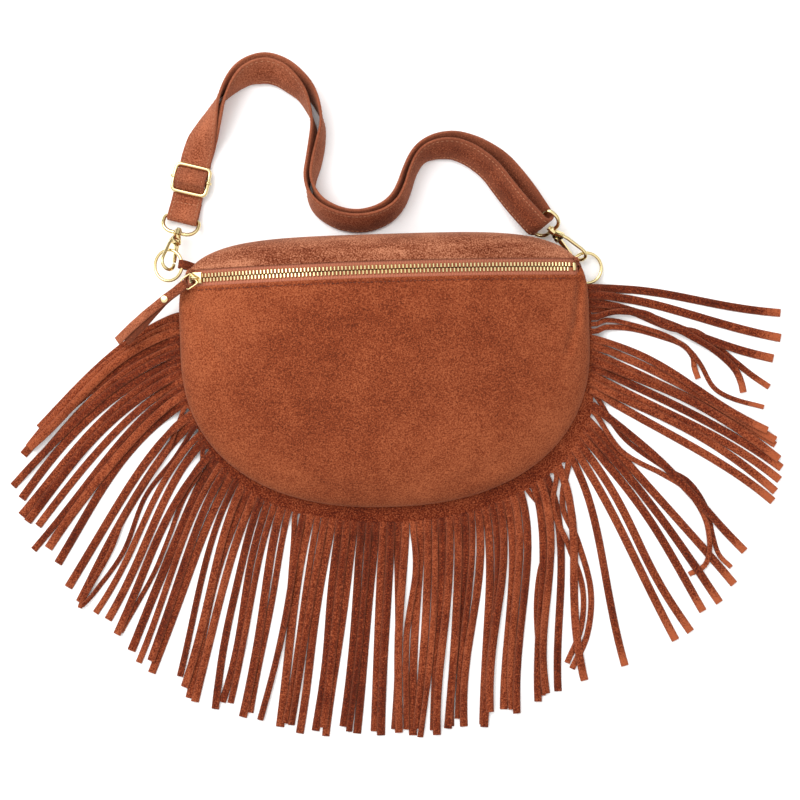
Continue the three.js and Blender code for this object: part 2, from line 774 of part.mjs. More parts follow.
// Out along the upper layer, round the right clasp's eye, and back along the lower layer.
const layerSteps = 62;
const outward = Array.from({ length: layerSteps + 1 }, (_, i) => layerAt(i / layerSteps, -1));
const inward = Array.from({ length: layerSteps + 1 }, (_, i) => layerAt(1 - i / layerSteps, 1));
sections.push(...outward);
const [turnFrom, turnTo] = [outward.at(-1), inward[0]];
const turnMiddle = turnFrom.middle.clone().add(turnTo.middle).multiplyScalar(0.5);
const turnAcross = turnTo.middle.clone().sub(turnFrom.middle).multiplyScalar(0.5);
const turnOut = turnFrom.through.clone().cross(turnFrom.width).normalize();
const turnRadius = Math.abs(turnAcross.dot(turnFrom.through));
for (let angle = 22.5; angle < 180; angle += 22.5) {
  const [c, s] = [Math.cos(degrees(angle)), Math.sin(degrees(angle))];
  sections.push({
    middle: turnMiddle.clone().addScaledVector(turnAcross, -c).addScaledVector(turnOut, s * turnRadius),
    width: turnFrom.width.clone(),
    through: turnFrom.through.clone().multiplyScalar(c).addScaledVector(turnOut, s),
  });
}
const turnBack = sections.length;
sections.push(...inward);

// The other end wraps the buckle's bar from above.
const wrapRadius = buckle.bar + gap + strap.thickness / 2;
sections.push(endSection(11.5, lowLayer, 0), endSection(7, lowLayer + 0.6, 12), endSection(4.2, lowLayer + 3.2, 60));
for (let angle = 70; angle >= -130; angle -= 25) {
  const [c, s] = [Math.cos(degrees(angle)), Math.sin(degrees(angle))];
  sections.push(endSection(wrapRadius * s, buckle.z + wrapRadius * c, angle));
}

function strapSolid() {
  const corners = sections.map(({ middle, width, through }) => {
    const w = width.clone().normalize().multiplyScalar(strap.width / 2);
    const t = through.clone().normalize().multiplyScalar(strap.thickness / 2);
    return [
      middle.clone().sub(w).add(t),
      middle.clone().add(w).add(t),
      middle.clone().add(w).sub(t),
      middle.clone().sub(w).sub(t),
    ];
  });
  return loft(corners, false, turnBack);
}

add('strap', strapSolid(), suede);

// ---- fringe ----

function fanAt(way) {
  const next = Math.max(fringeFan.findIndex(([at]) => at >= way), 1);
  const [from, to] = [fringeFan[next - 1], fringeFan[next]];
  const share = clamp((way - from[0]) / (to[0] - from[0]), 0, 1);
  return { heading: degrees(lerp(from[1], to[1], share)), length: lerp(from[2], to[2], share) };
}

const fringeFrom = 0.045; // share of the front seam where the fringe starts, and ends short of
const fringeTo = 0.975;

function fringeEdge(way) {
  const at = lerp(fringeFrom, fringeTo, way);
  const point = frontSeam.getPointAt(at);
  const along = frontSeam.getTangentAt(at);
  return { point, out: vector(along.y, -along.x, 0) };
}

// Height of the fringe's middle at a distance outside the seam.
function fringeHeight(point, distance) {
  const rest = fringe.thickness / 2 + 0.05;
  const fall = (1 - clamp(distance / fringe.landing, 0, 1)) ** 2;
  return rest + (seamHeight(point) - rest) * fall;
}

// The band is a lofted strip, and each strand is a thin bar that the band carries.
function fringeSolid(index) {
  const count = fringe.strands / fringe.pieces;
  const half = fringe.thickness / 2;
  const shareGap = 0.12 / fringe.strands;
  const parts = [];
  const start = (index * count) / fringe.strands + shareGap;
  const end = ((index + 1) * count) / fringe.strands - shareGap;
  const distances = [fringe.band, fringe.band * 0.6, fringe.band * 0.3, 0, -fringe.tuck];
  const steps = 16;
  const upper = [];
  for (let i = 0; i <= steps; i++) {
    const { point, out } = fringeEdge(lerp(start, end, i / steps));
    for (const distance of distances) {
      const place = point.clone().addScaledVector(out, distance);
      upper.push(place.setZ(fringeHeight(point, distance) + half));
    }
  }
  const lower = upper.map((p) => p.clone().setZ(p.z - 2 * half));
  parts.push(shell(upper, lower, steps, distances.length - 1));
  for (let i = index * count; i < (index + 1) * count; i++) {
    const way = (i + 0.5) / fringe.strands;
    const { point, out } = fringeEdge(way);
    const { heading, length } = fanAt(way);
    const direction = vector(Math.cos(heading), Math.sin(heading), 0);
    const side = vector(-direction.y, direction.x, 0);
    const space = fringeEdge((i + 1) / fringe.strands).point.sub(fringeEdge(i / fringe.strands).point);
    const halfWidth = (Math.abs(space.dot(side)) * fringe.fill) / 2;
    const base = point.clone().addScaledVector(out, fringe.band - 1.5);
    const strandRings = [0, 12, length].map((reach) => {
      const centre = base.clone().addScaledVector(direction, reach);
      const distance = fringe.band - 1.5 + reach * Math.max(direction.dot(out), 0.6);
      const z = fringeHeight(point, distance);
      return [
        [-1, -1], [1, -1], [1, 1], [-1, 1],
      ].map(([a, b]) => centre.clone().addScaledVector(side, a * halfWidth).setZ(z + b * (half - 0.05)));
    });
    parts.push(loft(strandRings));
  }
  return join(parts);
}

const fringeNames = ['fringe_left', 'fringe_lower_left', 'fringe_lower_right', 'fringe_right'];
fringeNames.forEach((name, index) => add(name, fringeSolid(index), suedeDark));

export default root;
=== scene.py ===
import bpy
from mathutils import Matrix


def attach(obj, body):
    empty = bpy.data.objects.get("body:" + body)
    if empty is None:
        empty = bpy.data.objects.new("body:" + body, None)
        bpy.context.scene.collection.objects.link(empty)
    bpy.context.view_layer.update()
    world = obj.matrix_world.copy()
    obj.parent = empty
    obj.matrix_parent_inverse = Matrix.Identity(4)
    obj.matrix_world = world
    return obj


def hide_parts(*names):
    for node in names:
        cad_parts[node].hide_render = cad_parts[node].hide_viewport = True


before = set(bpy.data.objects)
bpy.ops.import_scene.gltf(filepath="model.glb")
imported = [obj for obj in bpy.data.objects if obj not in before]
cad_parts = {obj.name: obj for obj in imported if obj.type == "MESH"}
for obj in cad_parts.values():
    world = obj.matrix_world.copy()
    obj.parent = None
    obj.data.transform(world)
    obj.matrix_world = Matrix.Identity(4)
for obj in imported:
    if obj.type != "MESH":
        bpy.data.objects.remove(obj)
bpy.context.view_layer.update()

import math
import random

import bmesh
import bpy
import numpy as np
from mathutils import Matrix, Vector, noise

millimetre = 0.001


def lerp(a, b, share):
    return a + (b - a) * share


def clamp(value, low=0.0, high=1.0):
    return max(low, min(high, value))


def smoothStep(value, low, high):
    share = clamp((value - low) / (high - low))
    return share * share * (3 - 2 * share)


def lumps(x, y, z, size):  # soft hills and dips about `size` millimetres wide, from -1 to 1
    return noise.noise(Vector((x, y, z)) / size)


def clampIndex(i, count):
    return max(0, min(count - 1, i))


def catmullRom(rows, t):  # a smooth way through rows of numbers, for t from 0 to 1
    place = clamp(t) * (len(rows) - 1)
    i = min(int(place), len(rows) - 2)
    s = place - i
    a, b, c, d = (np.array(rows[clampIndex(i + k, len(rows))], float) for k in (-1, 0, 1, 2))
    if i == 0:
        a = 2 * b - c
    if i == len(rows) - 2:
        d = 2 * c - b
    square = (2 * a - 5 * b + 4 * c - d) * s * s
    cube = (3 * b - a - 3 * c + d) * s ** 3
    return 0.5 * (2 * b + (c - a) * s + square + cube)


def bezier(a, b, c, d, t):
    return a * (1 - t) ** 3 + 3 * b * t * (1 - t) ** 2 + 3 * c * t * t * (1 - t) + d * t ** 3


# materials
suedeTones = {  # dark, middle and light
    "suedeBody": ["#6f2f17", "#944222", "#b05f3a"],
    # the yoke's tones are a lighter copy of the body's suede: painted light on the upward-facing yoke
    "suedeYokeLit": ["#6a2b15", "#985134", "#c5805f"],
    "suedeStrap": ["#6c2f1a", "#95492b", "#b96c4b"],
    # the fringe's tones are a darker copy of the body's suede: painted shade
    "suedeFringeShaded": ["#531a0b", "#7d2d10", "#ac5835"],
}
sheenOf = {"suedeBody": 0.25, "suedeYokeLit": 0.3, "suedeStrap": 0.22, "suedeFringeShaded": 0.1}
suedeLook = {
    # scale, detail and roughness of each noise, and its share of the tone
    "cloud": (9, 3, 0.55), "patch": (55, 4, 0.6), "speckle": (840, 3, 0.7), "shares": (0.5, 0.45, 2.5),
    "middle": 0.275, "contrast": 0.85, "shift": -0.142, "stops": (0.02, 0.26, 0.5, 0.73, 0.98),
    "darkest": 0.6, "palest": 1.3, "depth": 0.72, "cutEdge": "#a05c42",
    "stretch": {"suedeYokeLit": (0.4, 2.2, 2.2)},
    "roughness": 0.95, "specular": 0.15, "sheenRoughness": 0.45, "sheenTint": "#f0b898",
    "nap": 0.45, "napDistance": 0.0012, "napShares": (0.6, 1.2),
}
goldLook = {"colour": "#e6d29c", "roughness": 0.15, "spread": 0.05, "wearScale": 160}
tapeLook = {
    "colours": ["#8a4a33", "#b96f53"], "stops": (0.2, 0.7), "ribScale": 238.8535, "distortion": 1.5,
    "fuzzScale": 900, "roughness": 0.85, "ribHeight": 0.5, "ribDistance": 0.0004,
}
threadLook = {
    "darkThread": "#5d2614", "paleThread": "#bb7d58", "plyScale": 1400, "plyDark": 0.6,
    "stops": (0.35, 0.6), "roughness": 0.7,
}


def colourOf(text, share=1):  # a hex colour as linear numbers, times a share
    parts = [int(text[i:i + 2], 16) / 255 for i in (1, 3, 5)]
    linear = [p / 12.92 if p <= 0.04045 else ((p + 0.055) / 1.055) ** 2.4 for p in parts]
    return tuple(p * share for p in linear) + (1,)


def newMaterial(name):
    made = bpy.data.materials.new(name)
    made.use_nodes = True
    tree = made.node_tree
    return made, tree, tree.nodes["Principled BSDF"]


def setInputs(node, values):
    for key, value in values.items():
        node.inputs[key].default_value = value


def feed(tree, socket, value):  # links an output to a socket, or sets a plain value
    if isinstance(value, bpy.types.NodeSocket):
        tree.links.new(value, socket)
    else:
        socket.default_value = value


def objectPlace(tree):
    return tree.nodes.new("ShaderNodeTexCoord").outputs["Object"]


def attributeOf(tree, name):
    node = tree.nodes.new("ShaderNodeAttribute")
    node.attribute_name = name
    return node.outputs["Fac"]


def noiseAt(tree, place, scale, detail, rough=0.55):
    node = tree.nodes.new("ShaderNodeTexNoise")
    setInputs(node, {"Scale": scale, "Detail": detail, "Roughness": rough})
    tree.links.new(place, node.inputs["Vector"])
    return node.outputs["Fac"]


def combine(tree, operation, a, b):
    node = tree.nodes.new("ShaderNodeMath")
    node.operation = operation
    feed(tree, node.inputs[0], a)
    feed(tree, node.inputs[1], b)
    return node.outputs[0]


def weighted(tree, outputs, shares, start=0.0):  # a number plus each output times its share
    total = start
    for output, share in zip(outputs, shares):
        total = combine(tree, "ADD", total, combine(tree, "MULTIPLY", output, share))
    return total


def rampOf(tree, factor, places, colours):
    node = tree.nodes.new("ShaderNodeValToRGB")
    elements = node.color_ramp.elements
    while len(elements) < len(places):
        elements.new(0.5)
    for element, place, colour in zip(elements, places, colours):
        element.position = place
        element.color = colour
    tree.links.new(factor, node.inputs["Fac"])
    return node.outputs["Color"]


def mixColours(tree, factor, a, b):
    node = tree.nodes.new("ShaderNodeMix")
    node.data_type = "RGBA"
    feed(tree, node.inputs["Factor"], factor)
    feed(tree, node.inputs[6], a)
    feed(tree, node.inputs[7], b)
    return node.outputs[2]


def addBump(tree, shader, height, strength, distance):
    bump = tree.nodes.new("ShaderNodeBump")
    setInputs(bump, {"Strength": strength, "Distance": distance})
    tree.links.new(height, bump.inputs["Height"])
    tree.links.new(bump.outputs["Normal"], shader.inputs["Normal"])


def suedeMaterial(name, tones):
    look = suedeLook
    made, tree, shader = newMaterial(name)
    place = objectPlace(tree)
    stretched = tree.nodes.new("ShaderNodeMapping")
    stretched.inputs["Scale"].default_value = look["stretch"].get(name, (1, 1, 1))
    tree.links.new(place, stretched.inputs["Vector"])
    cloud = noiseAt(tree, place, *look["cloud"])
    patch = noiseAt(tree, stretched.outputs["Vector"], *look["patch"])
    speckle = noiseAt(tree, place, *look["speckle"])
    level = look["middle"] - look["shares"][2] / 2  # the speckle goes up and down about the middle
    blend = weighted(tree, [cloud, patch, speckle], look["shares"], level)
    blend = combine(tree, "ADD", blend, attributeOf(tree, "tone"))
    blend = weighted(tree, [blend], [look["contrast"]], look["shift"])
    dark, middle, light = (colourOf(t, look["depth"]) for t in tones)
    darkest = colourOf(tones[0], look["depth"] * look["darkest"])
    palest = colourOf(tones[2], look["depth"] * look["palest"])
    colour = rampOf(tree, blend, look["stops"], [darkest, dark, middle, light, palest])
    edge = colourOf(look["cutEdge"], look["depth"])
    colour = mixColours(tree, attributeOf(tree, "cutEdge"), colour, edge)
    tree.links.new(colour, shader.inputs["Base Color"])
    setInputs(shader, {
        "Roughness": look["roughness"], "Specular IOR Level": look["specular"], "Sheen Weight": sheenOf[name],
        "Sheen Roughness": look["sheenRoughness"], "Sheen Tint": colourOf(look["sheenTint"]),
    })
    height = weighted(tree, [speckle, patch], look["napShares"])
    addBump(tree, shader, height, look["nap"], look["napDistance"])
    return made


def goldMaterial():
    made, tree, shader = newMaterial("paleGold")
    wear = noiseAt(tree, objectPlace(tree), goldLook["wearScale"], 4)
    setInputs(shader, {"Base Color": colourOf(goldLook["colour"]), "Metallic": 1.0})
    rough = weighted(tree, [wear], [goldLook["spread"] * 2], goldLook["roughness"] - goldLook["spread"])
    tree.links.new(rough, shader.inputs["Roughness"])
    return made


def tapeMaterial():
    made, tree, shader = newMaterial("wovenTape")
    place = objectPlace(tree)
    ribs = tree.nodes.new("ShaderNodeTexWave")
    ribs.bands_direction = "X"
    setInputs(ribs, {"Scale": tapeLook["ribScale"], "Distortion": tapeLook["distortion"], "Detail": 2})
    tree.links.new(place, ribs.inputs["Vector"])
    fuzz = noiseAt(tree, place, tapeLook["fuzzScale"], 2)
    blend = weighted(tree, [ribs.outputs["Fac"], fuzz], [0.5, 0.5])
    colours = [colourOf(t) for t in tapeLook["colours"]]
    tree.links.new(rampOf(tree, blend, tapeLook["stops"], colours), shader.inputs["Base Color"])
    shader.inputs["Roughness"].default_value = tapeLook["roughness"]
    addBump(tree, shader, blend, tapeLook["ribHeight"], tapeLook["ribDistance"])
    return made


def threadMaterial(name):
    made, tree, shader = newMaterial(name)
    ply = noiseAt(tree, objectPlace(tree), threadLook["plyScale"], 2)
    colours = [colourOf(threadLook[name], share) for share in (threadLook["plyDark"], 1)]
    tree.links.new(rampOf(tree, ply, threadLook["stops"], colours), shader.inputs["Base Color"])
    shader.inputs["Roughness"].default_value = threadLook["roughness"]
    return made


finishes = {name: suedeMaterial(name, tones) for name, tones in suedeTones.items()}
finishes |= {name: threadMaterial(name) for name in ("darkThread", "paleThread")}
finishes |= {"gold": goldMaterial(), "tape": tapeMaterial()}
print("materials made")


# making meshes
def makeObject(name, points, faces, finish, body, slot, replaced=(), smooth=45, values=None):
    mesh = bpy.data.meshes.new(name)
    mesh.from_pydata((np.array(points, float) * millimetre).tolist(), [], faces)
    obj = bpy.data.objects.new(name, mesh)
    bpy.context.scene.collection.objects.link(obj)
    for key, numbers in (values or {}).items():
        attribute = mesh.attributes.new(key, "FLOAT", "POINT")
        attribute.data.foreach_set("value", np.array(numbers, np.float32))
    return finished(obj, finish, body, replaced, smooth)


def finished(obj, finish, body, replaced=(), smooth=45):
    obj.data.materials.clear()
    obj.data.materials.append(finishes[finish])
    selectOnly(obj)
    bpy.ops.object.shade_smooth_by_angle(angle=math.radians(smooth))
    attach(obj, body)
    if replaced:
        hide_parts(*replaced)
    return obj


def selectOnly(obj):
    bpy.ops.object.select_all(action="DESELECT")
    obj.select_set(True)
    bpy.context.view_layer.objects.active = obj


def reshape(obj, kind, **settings):  # adds a modifier and applies it at once
    selectOnly(obj)
    modifier = obj.modifiers.new(kind, kind)
    for key, value in settings.items():
        setattr(modifier, key, value)
    bpy.ops.object.modifier_apply(modifier=modifier.name)


def takeShape(obj):  # an object's points and faces, after which the object is removed
    points = np.array([v.co for v in obj.data.vertices])
    faces = [tuple(p.vertices) for p in obj.data.polygons]
    bpy.data.objects.remove(obj)
    return points, faces


def shifted(faces, start):
    return [tuple(start + k for k in face) for face in faces]


def turnedOver(faces):
    return [face[::-1] for face in faces]


# Faces of a closed sheet from its upper grid and the under grid that follows it in the point list.
def shellFaces(columns, rows, flip):
    def at(i, j):
        return i * (rows + 1) + j
    under = (columns + 1) * (rows + 1)
    faces = []
    for i in range(columns):
        for j in range(rows):
            a, b, c, d = at(i, j), at(i + 1, j), at(i + 1, j + 1), at(i, j + 1)
            faces += [(a, b, c, d), (under + d, under + c, under + b, under + a)]
    rim = [at(i, 0) for i in range(columns)] + [at(columns, j) for j in range(rows)]
    rim += [at(i, rows) for i in range(columns, 0, -1)] + [at(0, j) for j in range(rows, 0, -1)]
    for k, a in enumerate(rim):
        b = rim[(k + 1) % len(rim)]
        faces.append((b, a, under + a, under + b))
    return turnedOver(faces) if flip else faces


def gridNormals(grid):
    normals = np.cross(np.gradient(grid, axis=0), np.gradient(grid, axis=1))
    normals /= np.linalg.norm(normals, axis=2, keepdims=True) + 1e-12
    return normals


# Skins a row of rings of points, with an end face on each end.
def loftFaces(ringCount, count):
    faces = []
    for i in range(ringCount - 1):
        for j in range(count):
            k = (j + 1) % count
            faces.append((i * count + j, i * count + k, (i + 1) * count + k, (i + 1) * count + j))
    faces.append(tuple(range(count))[::-1])
    faces.append(tuple((ringCount - 1) * count + j for j in range(count)))
    return faces


def facingOut(points, faces):  # turns the faces of a closed mesh over if it is inside out
    volume = 0.0
    for face in faces:
        for k in range(1, len(face) - 1):
            a, b, c = points[face[0]], points[face[k]], points[face[k + 1]]
            volume += np.dot(a, np.cross(b, c))
    return turnedOver(faces) if volume < 0 else faces


# the bag's outline, seam and zip arc
bag = {
    "halfWidth": 172.5, "middleY": 20, "drop": 134, "rise": 95, "roundPower": 2.3, "squarePower": 4.5,
    "skin": 1.6, "seamZ": 8, "cornerLift": 11, "cornerReach": 30, "flatShare": 0.8, "clear": 1.1,
    "edgeRound": 0.9,
}
zipArc = {"y": 82.5, "halfSpan": 161, "crownZ": 58, "radius": 405, "openingHalf": 6.6, "lipLift": 1.2}


def outlinePoint(angle):
    c, s = math.cos(angle), math.sin(angle)
    power = 2 / (bag["squarePower"] if s > 0 else bag["roundPower"])
    tall = bag["rise"] if s > 0 else bag["drop"]
    return (
        bag["halfWidth"] * math.copysign(abs(c) ** power, c),
        bag["middleY"] + tall * math.copysign(abs(s) ** power, s),
    )


class Seam:  # a way along the outline that is asked by its share of the length
    def __init__(self, start, end):
        angles = np.linspace(start, end, 1500)
        self.points = np.array([outlinePoint(a) for a in angles])
        steps = np.hypot(*np.diff(self.points, axis=0).T)
        self.lengths = np.r_[0, np.cumsum(steps)]
        self.total = self.lengths[-1]

    def at(self, share):
        return np.array([np.interp(share * self.total, self.lengths, self.points[:, k]) for k in (0, 1)])

    def tangent(self, share):
        way = self.at(min(share + 0.004, 1)) - self.at(max(share - 0.004, 0))
        return way / np.linalg.norm(way)


cornerAngle = math.asin(((zipArc["y"] - bag["middleY"]) / bag["rise"]) ** (bag["squarePower"] / 2))
frontSeam = Seam(math.pi - cornerAngle, 2 * math.pi + cornerAngle)
topSeam = Seam(math.pi - cornerAngle, cornerAngle)
corner = outlinePoint(cornerAngle)


def seamHeight(point):
    away = math.hypot(abs(point[0]) - corner[0], point[1] - corner[1])
    return bag["seamZ"] + bag["cornerLift"] * math.exp(-((away / bag["cornerReach"]) ** 2))


def onZip(angle, y, lift):
    reach = zipArc["radius"] + lift
    centre = zipArc["crownZ"] - zipArc["radius"]
    return np.array([reach * math.sin(angle), y, centre + reach * math.cos(angle)])


def alongZip(x):
    return math.asin(clamp(x / zipArc["radius"], -1, 1))


# front panel
frontLook = {
    "columns": 190, "rows": 84, "lump": 1.1, "lumpSize": 46, "ripple": 0.35, "rippleSize": 15,
    "fallPowers": (2.3, 0.6), "stitchDown": 3.6, "grooveDepth": 0.5, "grooveHalf": 1.1, "waver": 0.25,
    # tones: clouds, painted light towards the left, painted highlight downwards and towards the rim, painted
    # shade in the stitch groove at the seam beside the zip
    "clouds": 0.07, "leftLight": 0.06, "lowHighlight": 0.05, "rimHighlight": 0.11, "grooveShade": 0.2, "grooveShadeHalf": 1.3,
    "nearLip": [0, 0.002, 0.005, 0.009, 0.014, 0.019, 0.024, 0.029, 0.034, 0.04, 0.047, 0.055],
    "downPower": 1.6,
    # creases: start, end, half width, depth
    "creases": [
        ((-161, 62), (-136, 10), 5.5, 2.4),
        ((165, 75), (160, 36), 3.5, 2.6),
        ((160, 36), (152, 12), 4, 1.8),
        ((121, 38), (144, 30), 4, 0.7),
        ((118, 30), (136, 22), 5, 0.6),
        ((-60, -96), (-20, -104), 7, 0.6),
        ((60, -96), (96, -80), 7, 0.6),
        ((-120, -55), (-136, -20), 9, 0.6),
    ],
}


def creaseDepth(x, y):
    deep = 0.0
    for (ax, ay), (bx, by), wide, depth in frontLook["creases"]:
        length = math.hypot(bx - ax, by - ay)
        share = clamp(((x - ax) * (bx - ax) + (y - ay) * (by - ay)) / length ** 2)
        away = math.hypot(x - lerp(ax, bx, share), y - lerp(ay, by, share))
        deep += depth * math.exp(-((away / wide) ** 2))
    return deep


def lipPoint(x, side):
    return onZip(alongZip(x), zipArc["y"] + side * zipArc["openingHalf"], zipArc["lipLift"])


def frontPanelPoint(u, v):
    lip = lipPoint(-zipArc["halfSpan"] * math.cos(math.pi * u), -1)
    edge = frontSeam.at(u)
    edgeZ = seamHeight(edge) + bag["clear"] + bag["skin"]
    power, root = frontLook["fallPowers"]
    fall = 1 - (1 - v ** power) ** root
    x, y, z = lerp(lip[0], edge[0], v), lerp(lip[1], edge[1], v), lerp(lip[2], edgeZ, fall)
    down = lip[1] - y
    offSeam = smoothStep(1 - v, 0, 0.1)
    inside = smoothStep(down, 4, 30) * smoothStep(1 - v, 0, 0.14)
    z += inside * (frontLook["lump"] * lumps(x, y, 0, frontLook["lumpSize"])
                   + frontLook["ripple"] * lumps(x, y, 50, frontLook["rippleSize"]))
    z -= creaseDepth(x, y) * smoothStep(down, 0, 12) * offSeam
    groove = abs(down - frontLook["stitchDown"]) / frontLook["grooveHalf"]
    z -= frontLook["grooveDepth"] * math.exp(-groove ** 2) * offSeam
    z += frontLook["waver"] * lumps(x, 0, 7, 9) * (1 - smoothStep(down, 0, 9)) * offSeam
    return (x, y, z)


def rollEdge(grid, normals, reach):  # rounds the edge along the zip, where the leather is folded
    start = grid[:, :1, :]
    away = np.linalg.norm(grid - start, axis=2)
    drop = reach * (1 - np.sqrt(np.clip(1 - (1 - np.clip(away / reach, 0, 1)) ** 2, 0, 1)))
    return grid - normals * drop[:, :, None]


def panelSheet(name, point, columns, ways, finish, slot, replaced, tone):
    grid = np.array([[point(i / columns, v) for v in ways] for i in range(columns + 1)])
    normals = gridNormals(grid)
    flip = normals[:, :, 2].mean() < 0
    if flip:
        normals = -normals
    upper = rollEdge(grid, normals, bag["edgeRound"])
    lower = grid - normals * bag["skin"]
    points = np.concatenate([upper.reshape(-1, 3), lower.reshape(-1, 3)])
    tones = [tone(x, y) for x, y, _ in upper.reshape(-1, 3)]
    return makeObject(name, points, shellFaces(columns, len(ways) - 1, flip), finish, "bag", slot, replaced,
                      smooth=60, values={"tone": tones + tones})


def frontTone(x, y):
    # painted shade along the stitch groove, painted highlight towards the rim and the bottom, painted light
    # towards the left, over random clouds
    shadeInGroove = math.exp(-((lipPoint(x, -1)[1] - y - frontLook["stitchDown"]) / frontLook["grooveShadeHalf"]) ** 2)
    away = math.hypot(x / bag["halfWidth"], (y + 5) / 120)
    tone = frontLook["clouds"] * lumps(x, y, 90, 60) + frontLook["rimHighlight"] * smoothStep(away, 0.55, 1)
    tone += frontLook["leftLight"] * smoothStep(-x, 20, 150) + frontLook["lowHighlight"] * smoothStep(-y, 20, 110)
    return tone - frontLook["grooveShade"] * shadeInGroove


def frontWays():  # close rows beside the zip, then wider ones down to the seam
    near = frontLook["nearLip"]
    down = 1 - (1 - np.linspace(0, 1, frontLook["rows"])[1:]) ** frontLook["downPower"]
    return near + list(lerp(near[-1], 1, down))


frontPanel = panelSheet("frontPanel", frontPanelPoint, frontLook["columns"], frontWays(),
                        "suedeBody", "suede", ["front_panel"], frontTone)
print("front panel made")


# top yoke
yokeLook = {
    "columns": 170, "rows": 46, "lump": 1.2, "lumpSize": 34, "ripple": 0.48, "rippleSize": 12,
    "foldDown": 4, "foldHalf": 1.2, "foldDepth": 0.45, "streak": 0.2, "leftLight": 0.1, "rightShading": 0.09,
    "baseTone": -0.03, "nearLip": [0, 0.01, 0.025, 0.045, 0.07, 0.1, 0.13, 0.16, 0.19],
}


def topYokePoint(u, v):
    edge = topSeam.at(u)
    edgeZ = seamHeight(edge) + bag["clear"] + bag["skin"]
    lip = lipPoint(edge[0] * zipArc["halfSpan"] / corner[0], 1)
    height = max(lip[2] - edgeZ, 0)
    reach = max(edge[1] - lip[1], 0)
    # leaves the zip nearly level and comes down steeply on the seam
    b = np.array([lerp(lip[0], edge[0], 0.3), lip[1] + 0.55 * reach, lip[2] + 0.06 * height])
    c = np.array([edge[0], edge[1] + 0.03 * height, edgeZ + 0.75 * height])
    x, y, z = bezier(lip, b, c, np.array([*edge, edgeZ]), v)
    inside = smoothStep(v, 0.04, 0.3) * smoothStep(1 - v, 0, 0.3) * smoothStep(height, 2, 14)
    z += inside * (yokeLook["lump"] * lumps(x, y, 30, yokeLook["lumpSize"])
                   + yokeLook["ripple"] * lumps(x, y, 80, yokeLook["rippleSize"]))
    fold = abs(y - lip[1] - yokeLook["foldDown"]) / yokeLook["foldHalf"]
    z -= yokeLook["foldDepth"] * math.exp(-fold ** 2) * smoothStep(height, 2, 10)
    return (x, y, z)


def yokeTone(x, y):
    # random nap streaks, with painted light towards the left and right ends
    tone = yokeLook["streak"] * (lumps(x, y * 1.8, 20, 34) + lumps(x * 0.4, y * 2.4, 5, 11))
    tone += yokeLook["leftLight"] * smoothStep(-x, 60, 150) + yokeLook["rightShading"] * smoothStep(x, 60, 140)
    return tone + yokeLook["baseTone"]


yokeWays = yokeLook["nearLip"] + list(np.linspace(0.22, 1, yokeLook["rows"]))
topYoke = panelSheet("topYoke", topYokePoint, yokeLook["columns"], yokeWays,
                     "suedeYokeLit", "suede_light", ["top_yoke"], yokeTone)
print("yoke made")


# back panel
backLook = {
    "spokes": 120, "frontShare": 0.7, "curlPower": 1.6,
    # rings of points from the middle out
    "shares": [0.2, 0.4, 0.6, 0.72, 0.8, 0.84, 0.88, 0.91, 0.94, 0.97, 1],
}


def backPanelMesh():
    spokes, shares = backLook["spokes"], backLook["shares"]
    front = round(spokes * backLook["frontShare"])
    around = [frontSeam.at(i / front) for i in range(front)]
    around += [topSeam.at(1 - i / (spokes - front)) for i in range(spokes - front)]
    middle = np.array([0, bag["middleY"]])
    points = [(*middle, 0), (*middle, bag["skin"])]
    for share in shares:
        curl = (max(share - bag["flatShare"], 0) / (1 - bag["flatShare"])) ** backLook["curlPower"]
        for edge in around:
            low = (seamHeight(edge) - bag["clear"] - bag["skin"]) * curl
            x, y = middle + (edge - middle) * share
            points += [(x, y, low), (x, y, low + bag["skin"])]

    def at(ring, spoke, upper):
        return 2 + (ring * spokes + spoke % spokes) * 2 + upper

    faces = []
    for i in range(spokes):
        faces += [(0, at(0, i + 1, 0), at(0, i, 0)), (1, at(0, i, 1), at(0, i + 1, 1))]
        for ring in range(1, len(shares)):
            a, b, c, d = at(ring - 1, i, 0), at(ring - 1, i + 1, 0), at(ring, i + 1, 0), at(ring, i, 0)
            faces += [(a, b, c, d), (d + 1, c + 1, b + 1, a + 1)]
        a, b = at(len(shares) - 1, i, 0), at(len(shares) - 1, i + 1, 0)
        faces.append((a, b, b + 1, a + 1))
    return points, faces


backPanel = makeObject("backPanel", *backPanelMesh(), "suedeBody", "bag", "suede", ["back_panel"], smooth=60)
print("back panel made")


# stitches
stitchLook = {"radius": 0.34, "lipFrom": -152, "lipPitch": 3.5, "lipLength": 2.5, "lipLift": 0.12}
bpy.ops.mesh.primitive_uv_sphere_add(segments=6, ring_count=4, radius=1)
stitchPoints, stitchFaces = takeShape(bpy.context.active_object)
upright = np.array([0, 0, 1.0])


def stitchRow(name, places, finish, body, slot):  # places: (middle, way, outward, length)
    points, faces = [], []
    for middle, way, out, length in places:
        way = way / np.linalg.norm(way)
        side = np.cross(out, way)
        side /= np.linalg.norm(side)
        out = np.cross(way, side)
        shaped = stitchPoints * np.array([length / 2, stitchLook["radius"], stitchLook["radius"]])
        faces += shifted(stitchFaces, len(points))
        points += list(middle + shaped[:, :1] * way + shaped[:, 1:2] * side + shaped[:, 2:] * out)
    return makeObject(name, points, faces, finish, body, slot, smooth=80)


def lipStitches():
    rows = []
    for x in np.arange(stitchLook["lipFrom"], 0.1 - stitchLook["lipFrom"], stitchLook["lipPitch"]):
        u = math.acos(-x / zipArc["halfSpan"]) / math.pi
        v = frontLook["stitchDown"] / (frontPanelPoint(u, 0)[1] - frontSeam.at(u)[1])
        before, here, after = (np.array(frontPanelPoint(min(u + k * 0.004, 1), v)) for k in (-1, 0, 1))
        middle = here + [0, 0, stitchLook["lipLift"]]
        rows.append((middle, after - before, upright, stitchLook["lipLength"]))
    return rows


stitchRow("lipStitches", lipStitches(), "darkThread", "bag", "suede_dark")
print("lip stitches made")


